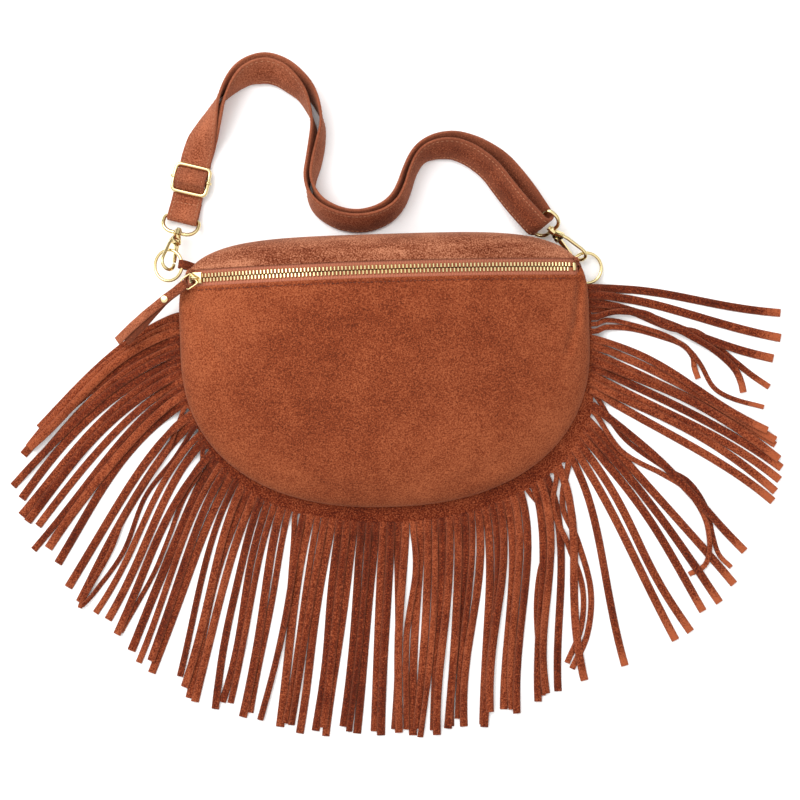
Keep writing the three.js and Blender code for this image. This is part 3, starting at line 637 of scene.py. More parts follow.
# zip
toothLook = {
    "pitch": 3.1, "wide": 1.5, "inner": 0.15, "outer": 3.75, "low": -1.35, "high": 0.75, "bevel": 0.3,
    "stemFrom": 1.6, "stemTo": 3.3, "stemShare": 0.85,  # the head is a little wider than the stem behind it
    "leftTrim": 7.5, "rightTrim": 4.5,
}
tapeLine = {
    "thick": 0.7, "beyond": 3, "steps": 90, "ripple": 0.05,
    # distance from the middle of the zip and height: the flat part, and down to the edge that the teeth hold
    "line": [(8, -0.7), (5.6, -0.7), (4.6, -0.75), (4, -1.1), (3.5, -1.35), (1.6, -1.4), (0.4, -1.4)],
    "underPanel": (11, -0.7),
}
zipHalf = math.asin(zipArc["halfSpan"] / zipArc["radius"])


def toothTemplate():
    inner, outer, low, high = (toothLook[key] for key in ("inner", "outer", "low", "high"))
    middle = (0, (inner + outer) / 2, (low + high) / 2)
    bpy.ops.mesh.primitive_cube_add(size=1, location=middle)
    tooth = bpy.context.active_object
    tooth.scale = (toothLook["wide"], outer - inner, high - low)
    bpy.ops.object.transform_apply(location=True, scale=True)
    reshape(tooth, "BEVEL", width=toothLook["bevel"], segments=1)
    points, faces = takeShape(tooth)
    stem = (points[:, 1] > toothLook["stemFrom"]) & (points[:, 1] < toothLook["stemTo"])
    points[stem, 0] *= toothLook["stemShare"]
    return points, faces


toothPoints, toothFaces = toothTemplate()


def toothRow(name, side, node):
    pitch = toothLook["pitch"] / zipArc["radius"]
    shape = toothFaces if side > 0 else turnedOver(toothFaces)
    points, faces = [], []
    angle = -zipHalf + toothLook["leftTrim"] / zipArc["radius"] + (pitch / 2 if side > 0 else 0)
    while angle < zipHalf - toothLook["rightTrim"] / zipArc["radius"]:
        along = np.array([math.cos(angle), 0, -math.sin(angle)])
        out = np.array([math.sin(angle), 0, math.cos(angle)])
        base = onZip(angle, zipArc["y"], 0)
        faces += shifted(shape, len(points))
        points += [base + along * x + np.array([0, side * y, 0]) + out * z for x, y, z in toothPoints]
        angle += pitch
    return makeObject(name, points, faces, "gold", "bag", "metal", [node], smooth=30)


def zipTape(name, side, node):
    line = tapeLine["line"] if side > 0 else [tapeLine["underPanel"]] + tapeLine["line"]
    half = zipHalf + tapeLine["beyond"] / zipArc["radius"]
    outline = [(side * y, z) for y, z in line]
    outline += [(side * y, z - tapeLine["thick"]) for y, z in reversed(line)]
    outline = outline[::-side]
    points = []
    for angle in np.linspace(-half, half, tapeLine["steps"] + 1):
        for y, z in outline:
            ripple = tapeLine["ripple"] * lumps(angle * zipArc["radius"], y, 3, 4)
            points.append(onZip(angle, zipArc["y"] + y, z + ripple))
    faces = loftFaces(tapeLine["steps"] + 1, len(outline))
    return makeObject(name, points, faces, "tape", "bag", "zip_tape", [node], smooth=60)


for end, side in (("Lower", -1), ("Upper", 1)):
    toothRow("zipTeeth" + end, side, "zip_teeth_" + end.lower())
    zipTape("zipTape" + end, side, "zip_tape_" + end.lower())
print("zip made")


# metal fittings: name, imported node, body, rounding in millimetres, extra smoothing, swelling in millimetres
fittings = [
    ("zipSlider", "zip_slider", "slider", 0.6, 0, 0),
    ("zipEndStop", "zip_end_stop", "bag", 0.4, 0, 0),
    ("pullLink", "pull_link", "pull_link", 0, 1, 0),
    ("pullRivet", "pull_rivet", "pull", 0.25, 0, 0),
    ("buckleFrame", "buckle_frame", "bag", 0, 1, 0.45),
    ("buckleBar", "buckle_bar", "bag", 0.2, 0, 0),
]
for side in ("Left", "Right"):
    for part, body, rounding, swelling in [("eye", "eye", 0, 0.15), ("hook", "hook", 0.25, 0),
                                           ("gate", "gate", 0.3, 0), ("pin", "hook", 0.15, 0)]:
        end = "_" + side.lower()
        fittings.append((part + side, "clasp_" + part + end, body + end, rounding, 0, swelling))
refineLook = {"joinWithin": 1e-6, "flatWithin": 1, "sharpFrom": 50, "segments": 2}


def refinedCopy(name, node, body, rounding, smoothing, swelling, finish, slot):
    obj = bpy.data.objects.new(name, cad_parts[node].data.copy())
    bpy.context.scene.collection.objects.link(obj)
    work = bmesh.new()
    work.from_mesh(obj.data)
    bmesh.ops.remove_doubles(work, verts=work.verts, dist=refineLook["joinWithin"])
    flat = math.radians(refineLook["flatWithin"])
    bmesh.ops.dissolve_limit(work, angle_limit=flat, verts=work.verts, edges=work.edges)
    work.to_mesh(obj.data)
    work.free()
    if rounding:
        reshape(obj, "BEVEL", width=rounding * millimetre, segments=refineLook["segments"],
                limit_method="ANGLE", angle_limit=math.radians(refineLook["sharpFrom"]))
    if smoothing:
        reshape(obj, "SUBSURF", levels=smoothing, render_levels=smoothing)
    if swelling:
        for vertex in obj.data.vertices:
            vertex.co += vertex.normal * swelling * millimetre
    return finished(obj, finish, body, [node], smooth=60)


for row in fittings:
    refinedCopy(*row, "gold", "metal")
refinedCopy("ringTabRight", "ring_tab_right", "bag", 0.3, 0, 0, "suedeStrap", "suede_dark")


def wireRing(name, radius, wire, fineness, place, body, replaced=()):
    bpy.ops.mesh.primitive_torus_add(major_segments=fineness[0], minor_segments=fineness[1],
                                     major_radius=radius * millimetre, minor_radius=wire * millimetre)
    ring = bpy.context.active_object
    ring.name = name
    ring.data.transform(place)
    finished(ring, "gold", body, replaced, smooth=80)


ringLook = {
    "radius": 12.9, "wire": 1.38, "fineness": (72, 18),
    # name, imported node, middle, direction to the tab
    "places": [
        ("ringLeft", "ring_left", (-179, 94.5, 20), (1, 0, 0.4)),
        ("ringRight", "ring_right", (172.5, 82.5, 5.2), (-1, 0, 0.14)),
    ],
}
for name, node, middle, toTab in ringLook["places"]:
    x, y = Vector(toTab).normalized(), Vector((0, 1, 0))
    turn = Matrix((x, y, x.cross(y))).transposed().to_4x4()
    place = Matrix.Translation(Vector(middle) * millimetre) @ turn
    wireRing(name, ringLook["radius"], ringLook["wire"], ringLook["fineness"], place, node, [node])


# the bar's ends are bent round the sides of the buckle's frame
collarLook = {
    "middle": (-159.6, 167.5, 7.2), "heading": (0.255, 0.967, 0), "reach": 14.6, "inner": 1.75, "wire": 0.75,
    "fineness": (28, 12), "stretch": 1.5,
}


def buckleCollar(name, side):
    heading = Vector(collarLook["heading"]).normalized()
    across = Vector((heading.y, -heading.x, 0))
    middle = (Vector(collarLook["middle"]) + across * side * collarLook["reach"]) * millimetre
    turn = heading.to_track_quat("Z", "Y").to_matrix().to_4x4()
    place = Matrix.Translation(middle) @ turn @ Matrix.Diagonal((1, 1, collarLook["stretch"], 1))
    radius = collarLook["inner"] + collarLook["wire"]
    wireRing(name, radius, collarLook["wire"], collarLook["fineness"], place, "bag")


buckleCollar("collarLeft", -1)
buckleCollar("collarRight", 1)
print("metal fittings made")


# pull strip
pullLook = {
    "origin": (-164.83, 76.65, 32.79), "heading": (-0.82, -0.57, -0.09), "across": (0.57, -0.82, 0.12),
    "width": 7.4, "length": 76, "shortBy": 6, "thickness": 1.5, "inner": 1.1, "rivetAt": 20,
    "droop": 0.0052, "droopFrom": 23, "parted": 0.12, "underSteps": 30,
    "peep": 5,  # how far the under layer shows beside the upper one
    # the under layer is darkened: painted shade beneath the upper layer
    "rootTone": -0.15, "tipTone": 0.25, "underShade": -0.6,
}


def ribbonSection(half, thick, crown=0.1):  # across and up, anticlockwise seen from the ribbon's end
    bend = min(0.5, thick * 0.4)
    right = [(half - bend * 0.5, 0), (half, bend * 0.6), (half, thick - bend), (half - bend, thick)]
    left = [(-x, y) for x, y in right]
    return left[:1] + right + [(0, thick + crown)] + left[:0:-1]


edgeShares = [0.25, 0.25, 1, 1, 0.35, 0, 0.35, 1, 1]  # how much each of those points shows the cut edge


# A flat ribbon along a line in the plane of the directions x and z, with its width along y.
def ribbonAlong(line, origin, x, y, z, width, thick):
    points, cut = [], []
    for i, (along, up, *aside) in enumerate(line):
        before, after = line[max(i - 1, 0)], line[min(i + 1, len(line) - 1)]
        way = np.array([after[0] - before[0], after[1] - before[1]])
        way /= np.linalg.norm(way)
        half = width / 2 * (1 + 0.02 * lumps(along, up, 0, 8))
        wave = 0.25 * lumps(along, 4, up, 14) + sum(aside)
        for (across, lift), share in zip(ribbonSection(half, thick), edgeShares):
            lift -= thick / 2
            place = origin + x * (along - way[1] * lift) + z * (up + way[0] * lift) + y * (across + wave)
            points.append(tuple(place))
            cut.append(share * 0.8)
    return points, facingOut(np.array(points), loftFaces(len(line), len(edgeShares))), cut


def squared(direction, x):  # the part of a direction that is square to x
    return (direction - x * direction.dot(x)).normalized()


def pullStrip():  # from the under layer's tip, round the link and back out to the upper layer's tip
    look = pullLook
    x = Vector(look["heading"]).normalized()
    y = squared(Vector(look["across"]), x)
    thick = look["thickness"]
    middle = look["inner"] + thick / 2
    close = thick / 2 + look["parted"]
    reach = look["length"] - look["shortBy"]

    def bend(at):
        return -look["droop"] * max(at - look["droopFrom"], 0) ** 2

    def narrowing(at):
        return lerp(middle, close, smoothStep(at, 0, 9))

    line = []
    for at in np.linspace(reach, 9, look["underSteps"]):
        peep = look["peep"] * smoothStep(at, look["rivetAt"] - 8, reach - 15)
        line.append((at, bend(at) - close, peep))
    line += [(at, -narrowing(at)) for at in (7, 5, 3, 1)]
    turns = [math.radians(angle) for angle in range(270, 89, -20)]
    line += [(middle * math.cos(turn), middle * math.sin(turn)) for turn in turns]
    line += [(at, narrowing(at)) for at in (1, 3, 5, 7)]
    line += [(at, bend(at) + close) for at in np.linspace(9, look["length"], 34)]
    return ribbonAlong(line, Vector(look["origin"]), x, y, x.cross(y), look["width"], thick)


def pullTone(index, x):
    under = index < pullLook["underSteps"] * len(edgeShares)
    tone = lerp(pullLook["rootTone"], pullLook["tipTone"], smoothStep(-x, 172, 215))
    # painted shade on the under layer, beneath the upper one
    return tone + pullLook["underShade"] * under


pullPoints, pullFaces, pullCut = pullStrip()
pullTones = [pullTone(index, point[0]) for index, point in enumerate(pullPoints)]
pullTab = makeObject("pullTab", pullPoints, pullFaces, "suedeStrap", "pull", "suede", ["pull_tab"], smooth=60,
                     values={"cutEdge": pullCut, "tone": pullTones})
print("pull strip made")


# the left ring's tab
ringTabLook = {
    "hold": (-167.0, 94.5, 24.8), "seam": (-155.5, 91.5, 16.6), "wrap": 2.55, "close": 0.68,
    "width": 7, "thickness": 1.2, "tone": -0.1,
    # share of the way to the seam, and how far the two layers still stand apart there
    "closing": [(1, 0), (0.75, 0), (0.5, 0.25), (0.28, 0.75)],
}


def ringTabStrip():
    hold, seam = Vector(ringTabLook["hold"]), Vector(ringTabLook["seam"])
    x = (seam - hold).normalized()
    y = squared(Vector((0, 1, 0)), x)
    reach = (seam - hold).length
    wrap, close = ringTabLook["wrap"], ringTabLook["close"]
    upper = [(reach * share, lerp(close, wrap, apart)) for share, apart in ringTabLook["closing"]]
    turns = [math.radians(angle) for angle in range(80, 281, 20)]
    line = upper + [(wrap * math.cos(turn), wrap * math.sin(turn)) for turn in turns]
    line += [(at, -up) for at, up in reversed(upper)]
    return ribbonAlong(line, hold, x, y, x.cross(y), ringTabLook["width"], ringTabLook["thickness"])


tabPoints, tabFaces, tabCut = ringTabStrip()
makeObject("ringTabLeft", tabPoints, tabFaces, "suedeFringeShaded", "bag", "suede_dark", ["ring_tab_left"],
           smooth=60, values={"cutEdge": tabCut, "tone": [ringTabLook["tone"]] * len(tabPoints)})


# strap
strapLook = {
    # room is the thickness that one layer takes up in the stack
    "width": 25.5, "thickness": 2.3, "room": 2.4, "gap": 0.3, "endLift": 5.4, "steps": 150,
    "low": 1.3, "high": 4, "endRun": (-18, -22, -26, -29.2),
    "endMiddle": (-159.6, 167.5, 0), "endHeading": (0.255, 0.967, 0), "foldAlong": -33.2, "foldZ": 4.4,
    "eyeWire": 1.5, "hump": 9.2, "wrinkle": 0.35, "buckleHalf": 11.5, "buckleZ": 7.2, "bar": 1.0,
    "edgeRound": 0.7, "edgeBevel": 0.2, "edgeShow": 0.8, "edgeShare": 0.55,
    "stitchIn": 2.6, "stitchPitch": 3.6, "stitchLength": 2.6, "firstStitch": 4.0,
    # tones: marks and their size, painted light on its left end, painted shade on its right end, and painted
    # light where it twists up: middle, size, amount
    "mark": 0.2, "markSize": 20, "leftLight": 0.12, "rightShading": -0.14, "twist": ((-139, 205), (9, 17), 0.3),
    # the cross stitches by the eye: first, last, pitch, place along, slant, height
    "crossRow": (-10.5, 10.6, 3.4, -20.5, 0.06, 5.45),
    # along, height, turn in degrees: out of the fold at the eye, and in to the buckle's bar
    "foldOut": [(-30.5, 7.2, 187), (-28, 6.8, 190), (-24, 5.1, 190), (-20.5, 4.3, 186), (-17, 4, 182),
                (-13.5, 4, 180)],
    "barIn": [(14, 1.3, 0), (11.5, 1.3, 0), (9, 1.5, 5), (7, 2.1, 16), (5.4, 3.3, 40), (4.2, 4.8, 60)],
    # x, y, lean in degrees, space between the two layers
    "stations": [
        (-143, 181, 90, 0.3), (-139, 192, 80, 0.5), (-135.5, 204, 58, 1.0), (-132.5, 218, 34, 1.8),
        (-129, 234, 10, 2.6), (-122, 250, -16, 3.0), (-113, 261, -34, 3.2), (-101, 267, -43, 3.2),
        (-89, 267.5, -44, 3.2), (-76, 262, -40, 3.4), (-66, 253, -33, 4.2), (-57, 240, -20, 5.2),
        (-52.5, 225, -8, 5.8), (-51.5, 210, 4, 5.2), (-54.5, 195, 12, 3.6), (-58, 180, 14, 2.4),
        (-60, 166, 8, 2.6), (-57, 154, -5, 3.0), (-49, 144, -18, 2.6), (-36, 137, -26, 2.0),
        (-22, 134, -29, 1.8), (-9, 135, -28, 2.2), (3, 139, -23, 3.0), (12, 146, -16, 3.6),
        (18, 156, -12, 3.4), (23, 169, -12, 2.8), (29, 181, -16, 2.4), (37, 189.5, -25, 2.4),
        (49, 195, -32, 3.0), (64, 196, -35, 4.0), (79, 191.5, -37, 5.4), (92, 184, -38, 7.4),
        (104, 174, -39, 10), (114, 161.5, -40, 12.5), (124, 148, -41, 13.5), (132, 137, -42, 12),
        (138.8, 127.6, -42, 9.5),
    ],
}
endHeading = Vector(strapLook["endHeading"]).normalized()
endAcross = Vector((endHeading.y, -endHeading.x, 0))


def layerAt(t, side):
    x, y, lean, space = catmullRom(strapLook["stations"], t)
    ahead = catmullRom(strapLook["stations"], min(t + 0.002, 1))
    behind = catmullRom(strapLook["stations"], max(t - 0.002, 0))
    along = Vector((ahead[0] - behind[0], ahead[1] - behind[1], 0)).normalized()
    left = Vector((-along.y, along.x, 0))
    lean = math.radians(lean)
    width = left * -math.sin(lean) + Vector((0, 0, math.cos(lean)))
    through = along.cross(width)
    apart = (strapLook["room"] + strapLook["gap"]) / 2
    rise = strapLook["width"] * width.z / 2 + (apart + strapLook["room"] / 2) * abs(through.z) + 0.1
    middle = Vector((x, y, 0)) - Vector((width.x, width.y, 0)) * strapLook["width"] / 2
    nearEnd = smoothStep(t, 0.8, 1)
    middle.z = rise + strapLook["endLift"] * nearEnd
    spread = (-left).lerp(through, nearEnd)
    middle += through * side * apart + spread * side * (space - strapLook["gap"]) / 2
    return middle, width, through * side


def endSection(along, z, turn):
    turn = math.radians(turn)
    through = endHeading * -math.sin(turn) - Vector((0, 0, math.cos(turn)))
    middle = Vector(strapLook["endMiddle"]) + endHeading * along
    middle.z = z
    return middle, endAcross.copy(), through


def roundTurn(radius, z, first, last, step, along=0):  # sections round a wire that lies across the strap
    made = []
    for angle in range(first, last, step):
        turn = math.radians(angle)
        made.append(endSection(along + radius * math.sin(turn), z + radius * math.cos(turn), angle))
    return made


def overBuckle():  # the upper layer's hump over the buckle's bar
    look, half = strapLook, strapLook["buckleHalf"]
    made = []
    for along in np.linspace(-half, half, 25):
        phase = math.pi * along / (2 * half)
        rise = look["hump"] * math.cos(phase) ** 2 + look["wrinkle"] * math.sin(along * 1.5) * math.cos(phase)
        slope = -look["hump"] * math.sin(2 * phase) * math.pi / (2 * half)
        made.append(endSection(along, look["high"] + rise, 180 - math.degrees(math.atan(slope))))
    return made


def strapSections():  # middle, width and through directions, from the end by the left eye to the buckle's bar
    look = strapLook
    around = look["gap"] + look["room"] / 2
    made = [endSection(along, look["low"], 0) for along in look["endRun"]]
    made += roundTurn(-look["eyeWire"] - around, look["foldZ"], 0, 181, 15, look["foldAlong"])
    made += [endSection(*row) for row in look["foldOut"]]
    made += overBuckle()
    outward = [layerAt(i / look["steps"], -1) for i in range(look["steps"] + 1)]
    inward = [layerAt(1 - i / look["steps"], 1) for i in range(look["steps"] + 1)]
    (fromMiddle, fromWidth, fromThrough), toMiddle = outward[-1], inward[0][0]
    middle, across = (fromMiddle + toMiddle) / 2, (toMiddle - fromMiddle) / 2
    turnOut = fromThrough.cross(fromWidth).normalized()
    radius = abs(across.dot(fromThrough))
    made += outward
    for angle in range(15, 180, 15):
        c, s = math.cos(math.radians(angle)), math.sin(math.radians(angle))
        place = middle - across * c + turnOut * s * radius
        made.append((place, fromWidth.copy(), fromThrough * c + turnOut * s))
    made += inward
    made += [endSection(*row) for row in look["barIn"]]
    return made + roundTurn(look["bar"] + around, look["buckleZ"], 70, -131, -20)


def roundedSection(half, thick):
    bend, bevel, top = strapLook["edgeRound"], strapLook["edgeBevel"], thick / 2
    corner = [(half - bend, top), (half - bevel, top - bevel), (half, top - bend)]
    right = [(0, top)] + corner + [(x, -y) for x, y in reversed(corner)]
    return right + [(-x, -y) for x, y in right]


def strapTone(place, across):  # where the strap twists up from lying flat, its nap faces the light
    (x, y), (wide, tall), amount = strapLook["twist"]
    twist = amount * math.exp(-(((place.x - x) / wide) ** 2 + ((place.y - y) / tall) ** 2))
    mark = strapLook["mark"] * lumps(place.x, place.y, across * 1.5, strapLook["markSize"])
    # painted light towards the left end and painted shade towards the right end, over random marks
    return mark + lerp(strapLook["rightShading"], strapLook["leftLight"], smoothStep(-place.x, -120, 120)) + twist


def strapMesh(sections):
    half = strapLook["width"] / 2
    outline = roundedSection(half, strapLook["thickness"])
    points, tones, cut = [], [], []
    for middle, width, through in sections:
        for across, lift in outline:
            points.append(tuple(middle + width * across + through * lift))
            tones.append(strapTone(middle, across))
            cut.append(strapLook["edgeShare"] if abs(across) > half - strapLook["edgeShow"] else 0)
    return points, loftFaces(len(sections), len(outline)), {"tone": tones, "cutEdge": cut}


def seamStitches(sections):
    stitches = []
    travelled, following = 0.0, strapLook["firstStitch"]
    aside, top = strapLook["width"] / 2 - strapLook["stitchIn"], strapLook["thickness"] / 2
    for before, after in zip(sections, sections[1:]):
        way = after[0] - before[0]
        while way.length > 1e-6 and travelled + way.length > following:
            share = (following - travelled) / way.length
            here, wide, through = (a.lerp(b, share) for a, b in zip(before, after))
            wide, through = wide.normalized(), through.normalized()
            for side in (-1, 1):
                spot = here + wide * side * aside + through * top
                stitches.append((np.array(spot), np.array(way), np.array(through), strapLook["stitchLength"]))
            following += strapLook["stitchPitch"]
        travelled += way.length
    print("strap length", round(travelled))
    return stitches


def crossStitches():
    first, last, pitch, along, slant, height = strapLook["crossRow"]
    stitches = []
    for across in np.arange(first, last, pitch):
        spot = Vector(strapLook["endMiddle"]) + endHeading * (along + slant * across) + endAcross * across
        spot.z = height
        stitches.append((np.array(spot), np.array(endAcross), upright, strapLook["stitchLength"]))
    return stitches


ways = [(middle, width.normalized(), through.normalized()) for middle, width, through in strapSections()]
strapPoints, strapFaces, strapValues = strapMesh(ways)
strap = makeObject("strapLeather", strapPoints, strapFaces, "suedeStrap", "bag", "suede", ["strap"],
                   smooth=50, values=strapValues)
strapSeams = seamStitches(ways) + crossStitches()
strapThread = stitchRow("strapStitches", strapSeams, "paleThread", "bag", "suede_light")
print("strap made")


# fringe
fringeLook = {
    "from": 0.045, "to": 0.975, "strands": 97, "width": 6.8, "thickness": 1.35, "landing": 26, "step": 0.8,
    "underSeam": 0.85, "overlap": 1.5, "bandSteps": 60, "bandShares": [1, 0.9, 0.7, 0.5, 0.3, 0.1, 0],
    "tucked": -4, "bandTone": -0.02,
    # share of the seam, strand's tip, heading at the root, heading at the tip
    "fan": [
        (0.000, -299, -36, 194, 224), (0.020, -307, -52, 194, 225), (0.040, -315, -70, 195, 226),
        (0.060, -317, -90, 197, 227), (0.085, -310, -114, 201, 229), (0.110, -297, -140, 206, 231),
        (0.140, -278, -166, 211, 234), (0.170, -260, -194, 217, 237), (0.200, -240, -218, 224, 241),
        (0.250, -203, -247, 236, 248), (0.290, -170, -270, 243, 253), (0.335, -136, -288, 250, 256),
        (0.410, -80, -306, 259, 259), (0.485, -16, -311, 266, 265), (0.575, 37, -306, 273, 266),
        (0.650, 88, -295, 281, 270), (0.690, 114, -286, 287, 272), (0.705, 128, -278, 288, 272),
        (0.720, 146, -276, 291, 276), (0.735, 160, -273, 294, 280), (0.748, 172, -262, 297, 284),
        (0.757, 190, -260, 299, 286), (0.767, 240, -234, 303, 297), (0.780, 256, -224, 306, 298),
        (0.792, 270, -210, 309, 301), (0.805, 283, -194, 313, 305), (0.820, 296, -178, 316, 307),
        (0.835, 306, -150, 322, 311), (0.850, 320, -122, 327, 315), (0.865, 328, -106, 331, 318),
        (0.882, 333, -92, 336, 321), (0.900, 331, -78, 340, 324), (0.925, 324, -58, 346, 328),
        (0.940, 322, -40, 350, 332), (0.955, 325, -22, 353, 336), (0.974, 326, 3, 356, 343),
        (0.985, 336, 24, 360, 350), (0.995, 333, 40, 362, 353), (1.000, 333, 42, 362, 353),
    ],
    # share of the seam, width of the uncut band
    "band": [(0, 1.5), (0.17, 1.5), (0.21, 5), (0.3, 12), (0.5, 15), (0.64, 14), (0.76, 15), (0.83, 11),
             (0.86, 3), (1, 2)],
}


def rowAt(rows, way):
    ways = [row[0] for row in rows]
    return [float(np.interp(way, ways, [row[k] for row in rows])) for k in range(1, len(rows[0]))]


def fringeRoot(way, distance):
    at = lerp(fringeLook["from"], fringeLook["to"], way)
    along = frontSeam.tangent(at)
    out = np.array([along[1], -along[0]])
    return frontSeam.at(at) + out * distance, out


def fringeRise(edge, distance):  # underside of the fringe at a distance outside the seam
    fall = (1 - clamp(distance / fringeLook["landing"])) ** 2
    return (seamHeight(edge) - fringeLook["underSeam"]) * fall


class Ground:  # how high things already lie on the surface, on a 1 mm grid
    def __init__(self):
        self.low = np.array([-360, -345])
        self.high = np.zeros((720, 470))

    def cells(self, x, y):
        i = np.clip((x - self.low[0]).astype(int), 0, self.high.shape[0] - 1)
        j = np.clip((y - self.low[1]).astype(int), 0, self.high.shape[1] - 1)
        return i, j


ground = Ground()


def spreadMax(values, reach):
    padded = np.pad(values, reach, mode="edge")
    return np.max([padded[k:k + len(values)] for k in range(2 * reach + 1)], axis=0)


def soften(values, reach):
    padded = np.pad(values, reach, mode="edge")
    return np.mean([padded[k:k + len(values)] for k in range(2 * reach + 1)], axis=0)


def evenSteps(line, step):
    line = np.array(line, float)
    lengths = np.r_[0, np.cumsum(np.hypot(*np.diff(line, axis=0).T))]
    stops = np.linspace(0, lengths[-1], max(int(lengths[-1] / step), 8))
    return np.column_stack([np.interp(stops, lengths, line[:, k]) for k in (0, 1)]), stops


layLook = {
    "across": 9, "reach": 0.48, "spread": 7, "soften": 4, "parted": 0.12, "every": 4, "edgeShare": 0.55,
    "curl": 0.8, "curlSize": 45, "curlOver": 30, "fleck": 0.1, "fleckSize": 26,
    # painted light, paler: the last stretch of the outer strands, and the topmost strands on the left
    "glowLength": 22, "leftGlow": 0.2, "rightGlow": 0.6, "topGlow": 0.1,
}


def tipGlow(place, left):
    # painted light on the outer strands' tips and on the topmost strands on the left
    x, y = place
    atEnd = smoothStep(layLook["glowLength"] - left, 0, layLook["glowLength"]) * smoothStep(abs(x), 120, 220)
    glow = lerp(layLook["leftGlow"], layLook["rightGlow"], smoothStep(x, 0, 50))
    return glow * atEnd + layLook["topGlow"] * smoothStep(y - 0.85 * x, 165, 215)


# Lays one strand over what already lies there, and returns its rings of points.
def layStrand(strand):
    look, thick = layLook, fringeLook["thickness"]
    width, seed = fringeLook["width"] * strand["width"], strand["seed"]
    edge, _ = fringeRoot(strand["way"], 0)
    path, stops = evenSteps(strand["line"], fringeLook["step"])
    ways = np.gradient(path, axis=0)
    ways /= np.linalg.norm(ways, axis=1, keepdims=True)
    sides = np.column_stack([-ways[:, 1], ways[:, 0]])
    offsets = np.linspace(-look["reach"], look["reach"], look["across"]) * width
    i, j = ground.cells(path[:, :1] + sides[:, :1] * offsets, path[:, 1:] + sides[:, 1:] * offsets)
    under = ground.high[i, j]
    root = np.array([fringeRise(edge, strand["distance"] + s * 0.9) for s in stops])
    hold = np.clip((stops - 2) / 9, 0, 1)  # the seam holds the root down
    parts = (under[:, :4], under[:, 5:], under[:, 3:6])
    right, left, centre = (np.maximum(part.max(1) * hold, root) for part in parts)
    lift = np.clip(centre - (left + right) / 2, 0, None)
    left, right = (spreadMax(side + lift, look["spread"]) for side in (left, right))
    left, right = (soften(soften(side, look["soften"]), look["soften"]) for side in (left, right))
    curl = look["curl"] * np.array([lumps(s, seed * 17, 3, look["curlSize"]) for s in stops])
    curl *= np.clip(stops / look["curlOver"], 0, 1)
    left, right = left + np.clip(curl, 0, None), right + np.clip(-curl, 0, None)
    shares = (offsets / width + 0.5)[None, :]
    top = right[:, None] * (1 - shares) + left[:, None] * shares + thick + look["parted"]
    np.maximum.at(ground.high, (i.ravel(), j.ravel()), top.ravel())
    rings, tones, cut = [], [], []
    picks = list(range(0, len(path) - 1, look["every"])) + [len(path) - 1]
    for k in picks:
        side = np.array([*sides[k], (left[k] - right[k]) / width])
        side /= np.linalg.norm(side)
        up = np.cross(np.array([*ways[k], 0]), side)
        middle = np.array([*path[k], (left[k] + right[k]) / 2])
        here = strand["tone"] + look["fleck"] * lumps(stops[k], seed * 9, 0, look["fleckSize"])
        here += tipGlow(path[k], stops[-1] - stops[k])
        rings += [middle + side * across + up * rise for across, rise in ribbonSection(width / 2, thick)]
        tones += [here] * len(edgeShares)
        cut += [share * look["edgeShare"] for share in edgeShares]
    return rings, len(picks), tones, cut


strandLook = {
    "seed": 11, "bundles": [2, 2, 3, 3, 4], "bundleShift": 3.2, "tipTurn": 3, "tipShift": 1.8,
    "tipReach": (-9, 7), "rootTurn": 2, "nearShare": 0.3, "farShare": 0.4, "wave": 3.4, "waves": (1.0, 2.2),
    "tone": (-0.16, 0.14), "widths": [1, 1, 1, 1, 1.05, 0.95, 0.9, 0.8],
    # strands between these shares of the fringe gather more, and those past the second vary less
    "gatherFrom": 0.2, "gatherTo": 0.68, "gather": 0.38, "gatherElse": 0.1, "varyElse": 0.5,
    "wideTo": 0.16, "wider": 1.04,
}


def bundlesOf(chance, count):
    bundles, start = [], 0
    while start < count:
        size = chance.choice(strandLook["bundles"])
        bundles.append((start, min(start + size, count)))
        start += size
    return bundles


def headingAt(degrees):
    turn = math.radians(degrees)
    return np.array([math.cos(turn), math.sin(turn)])


def strandLine(chance, look, way, root, bundleWay, shift):
    tipX, tipY, rootHeading, tipHeading = rowAt(fringeLook["fan"], way)
    midX, midY, _, _ = rowAt(fringeLook["fan"], bundleWay)
    gather = look["gather"] if look["gatherFrom"] < way < look["gatherTo"] else look["gatherElse"]
    vary = 1 if way < look["gatherTo"] else look["varyElse"]
    forward = headingAt(tipHeading + chance.uniform(-look["tipTurn"], look["tipTurn"]))
    sideways = np.array([-forward[1], forward[0]])
    tip = np.array([lerp(tipX, midX, gather), lerp(tipY, midY, gather)])
    tip += sideways * (shift + chance.uniform(-look["tipShift"], look["tipShift"])) * vary
    tip += forward * chance.uniform(*look["tipReach"]) * vary
    first = headingAt(rootHeading + chance.uniform(-look["rootTurn"], look["rootTurn"]))
    length = np.linalg.norm(tip - root)
    near, far = root + first * length * look["nearShare"], tip - forward * length * look["farShare"]
    wave = chance.uniform(-look["wave"], look["wave"])
    t = np.linspace(0, 1, 40)[:, None]
    swing = wave * np.sin(t * math.pi * chance.uniform(*look["waves"])) * t
    return bezier(root, near, far, tip, t) + sideways * swing


def strandLines():
    look, count = strandLook, fringeLook["strands"]
    chance = random.Random(look["seed"])
    lines = []
    for low, high in bundlesOf(chance, count):
        shift = chance.uniform(-look["bundleShift"], look["bundleShift"])
        for i in range(low, high):
            way = (i + 0.5) / count
            distance = rowAt(fringeLook["band"], way)[0] - fringeLook["overlap"]
            root, _ = fringeRoot(way, distance)
            line = strandLine(chance, look, way, root, (low + high) / 2 / count, shift)
            width = chance.choice(look["widths"]) * (look["wider"] if way < look["wideTo"] else 1)
            lines.append({"index": i, "line": line, "way": way, "distance": distance, "width": width,
                          "seed": chance.uniform(0, 50), "tone": chance.uniform(*look["tone"])})
    return lines


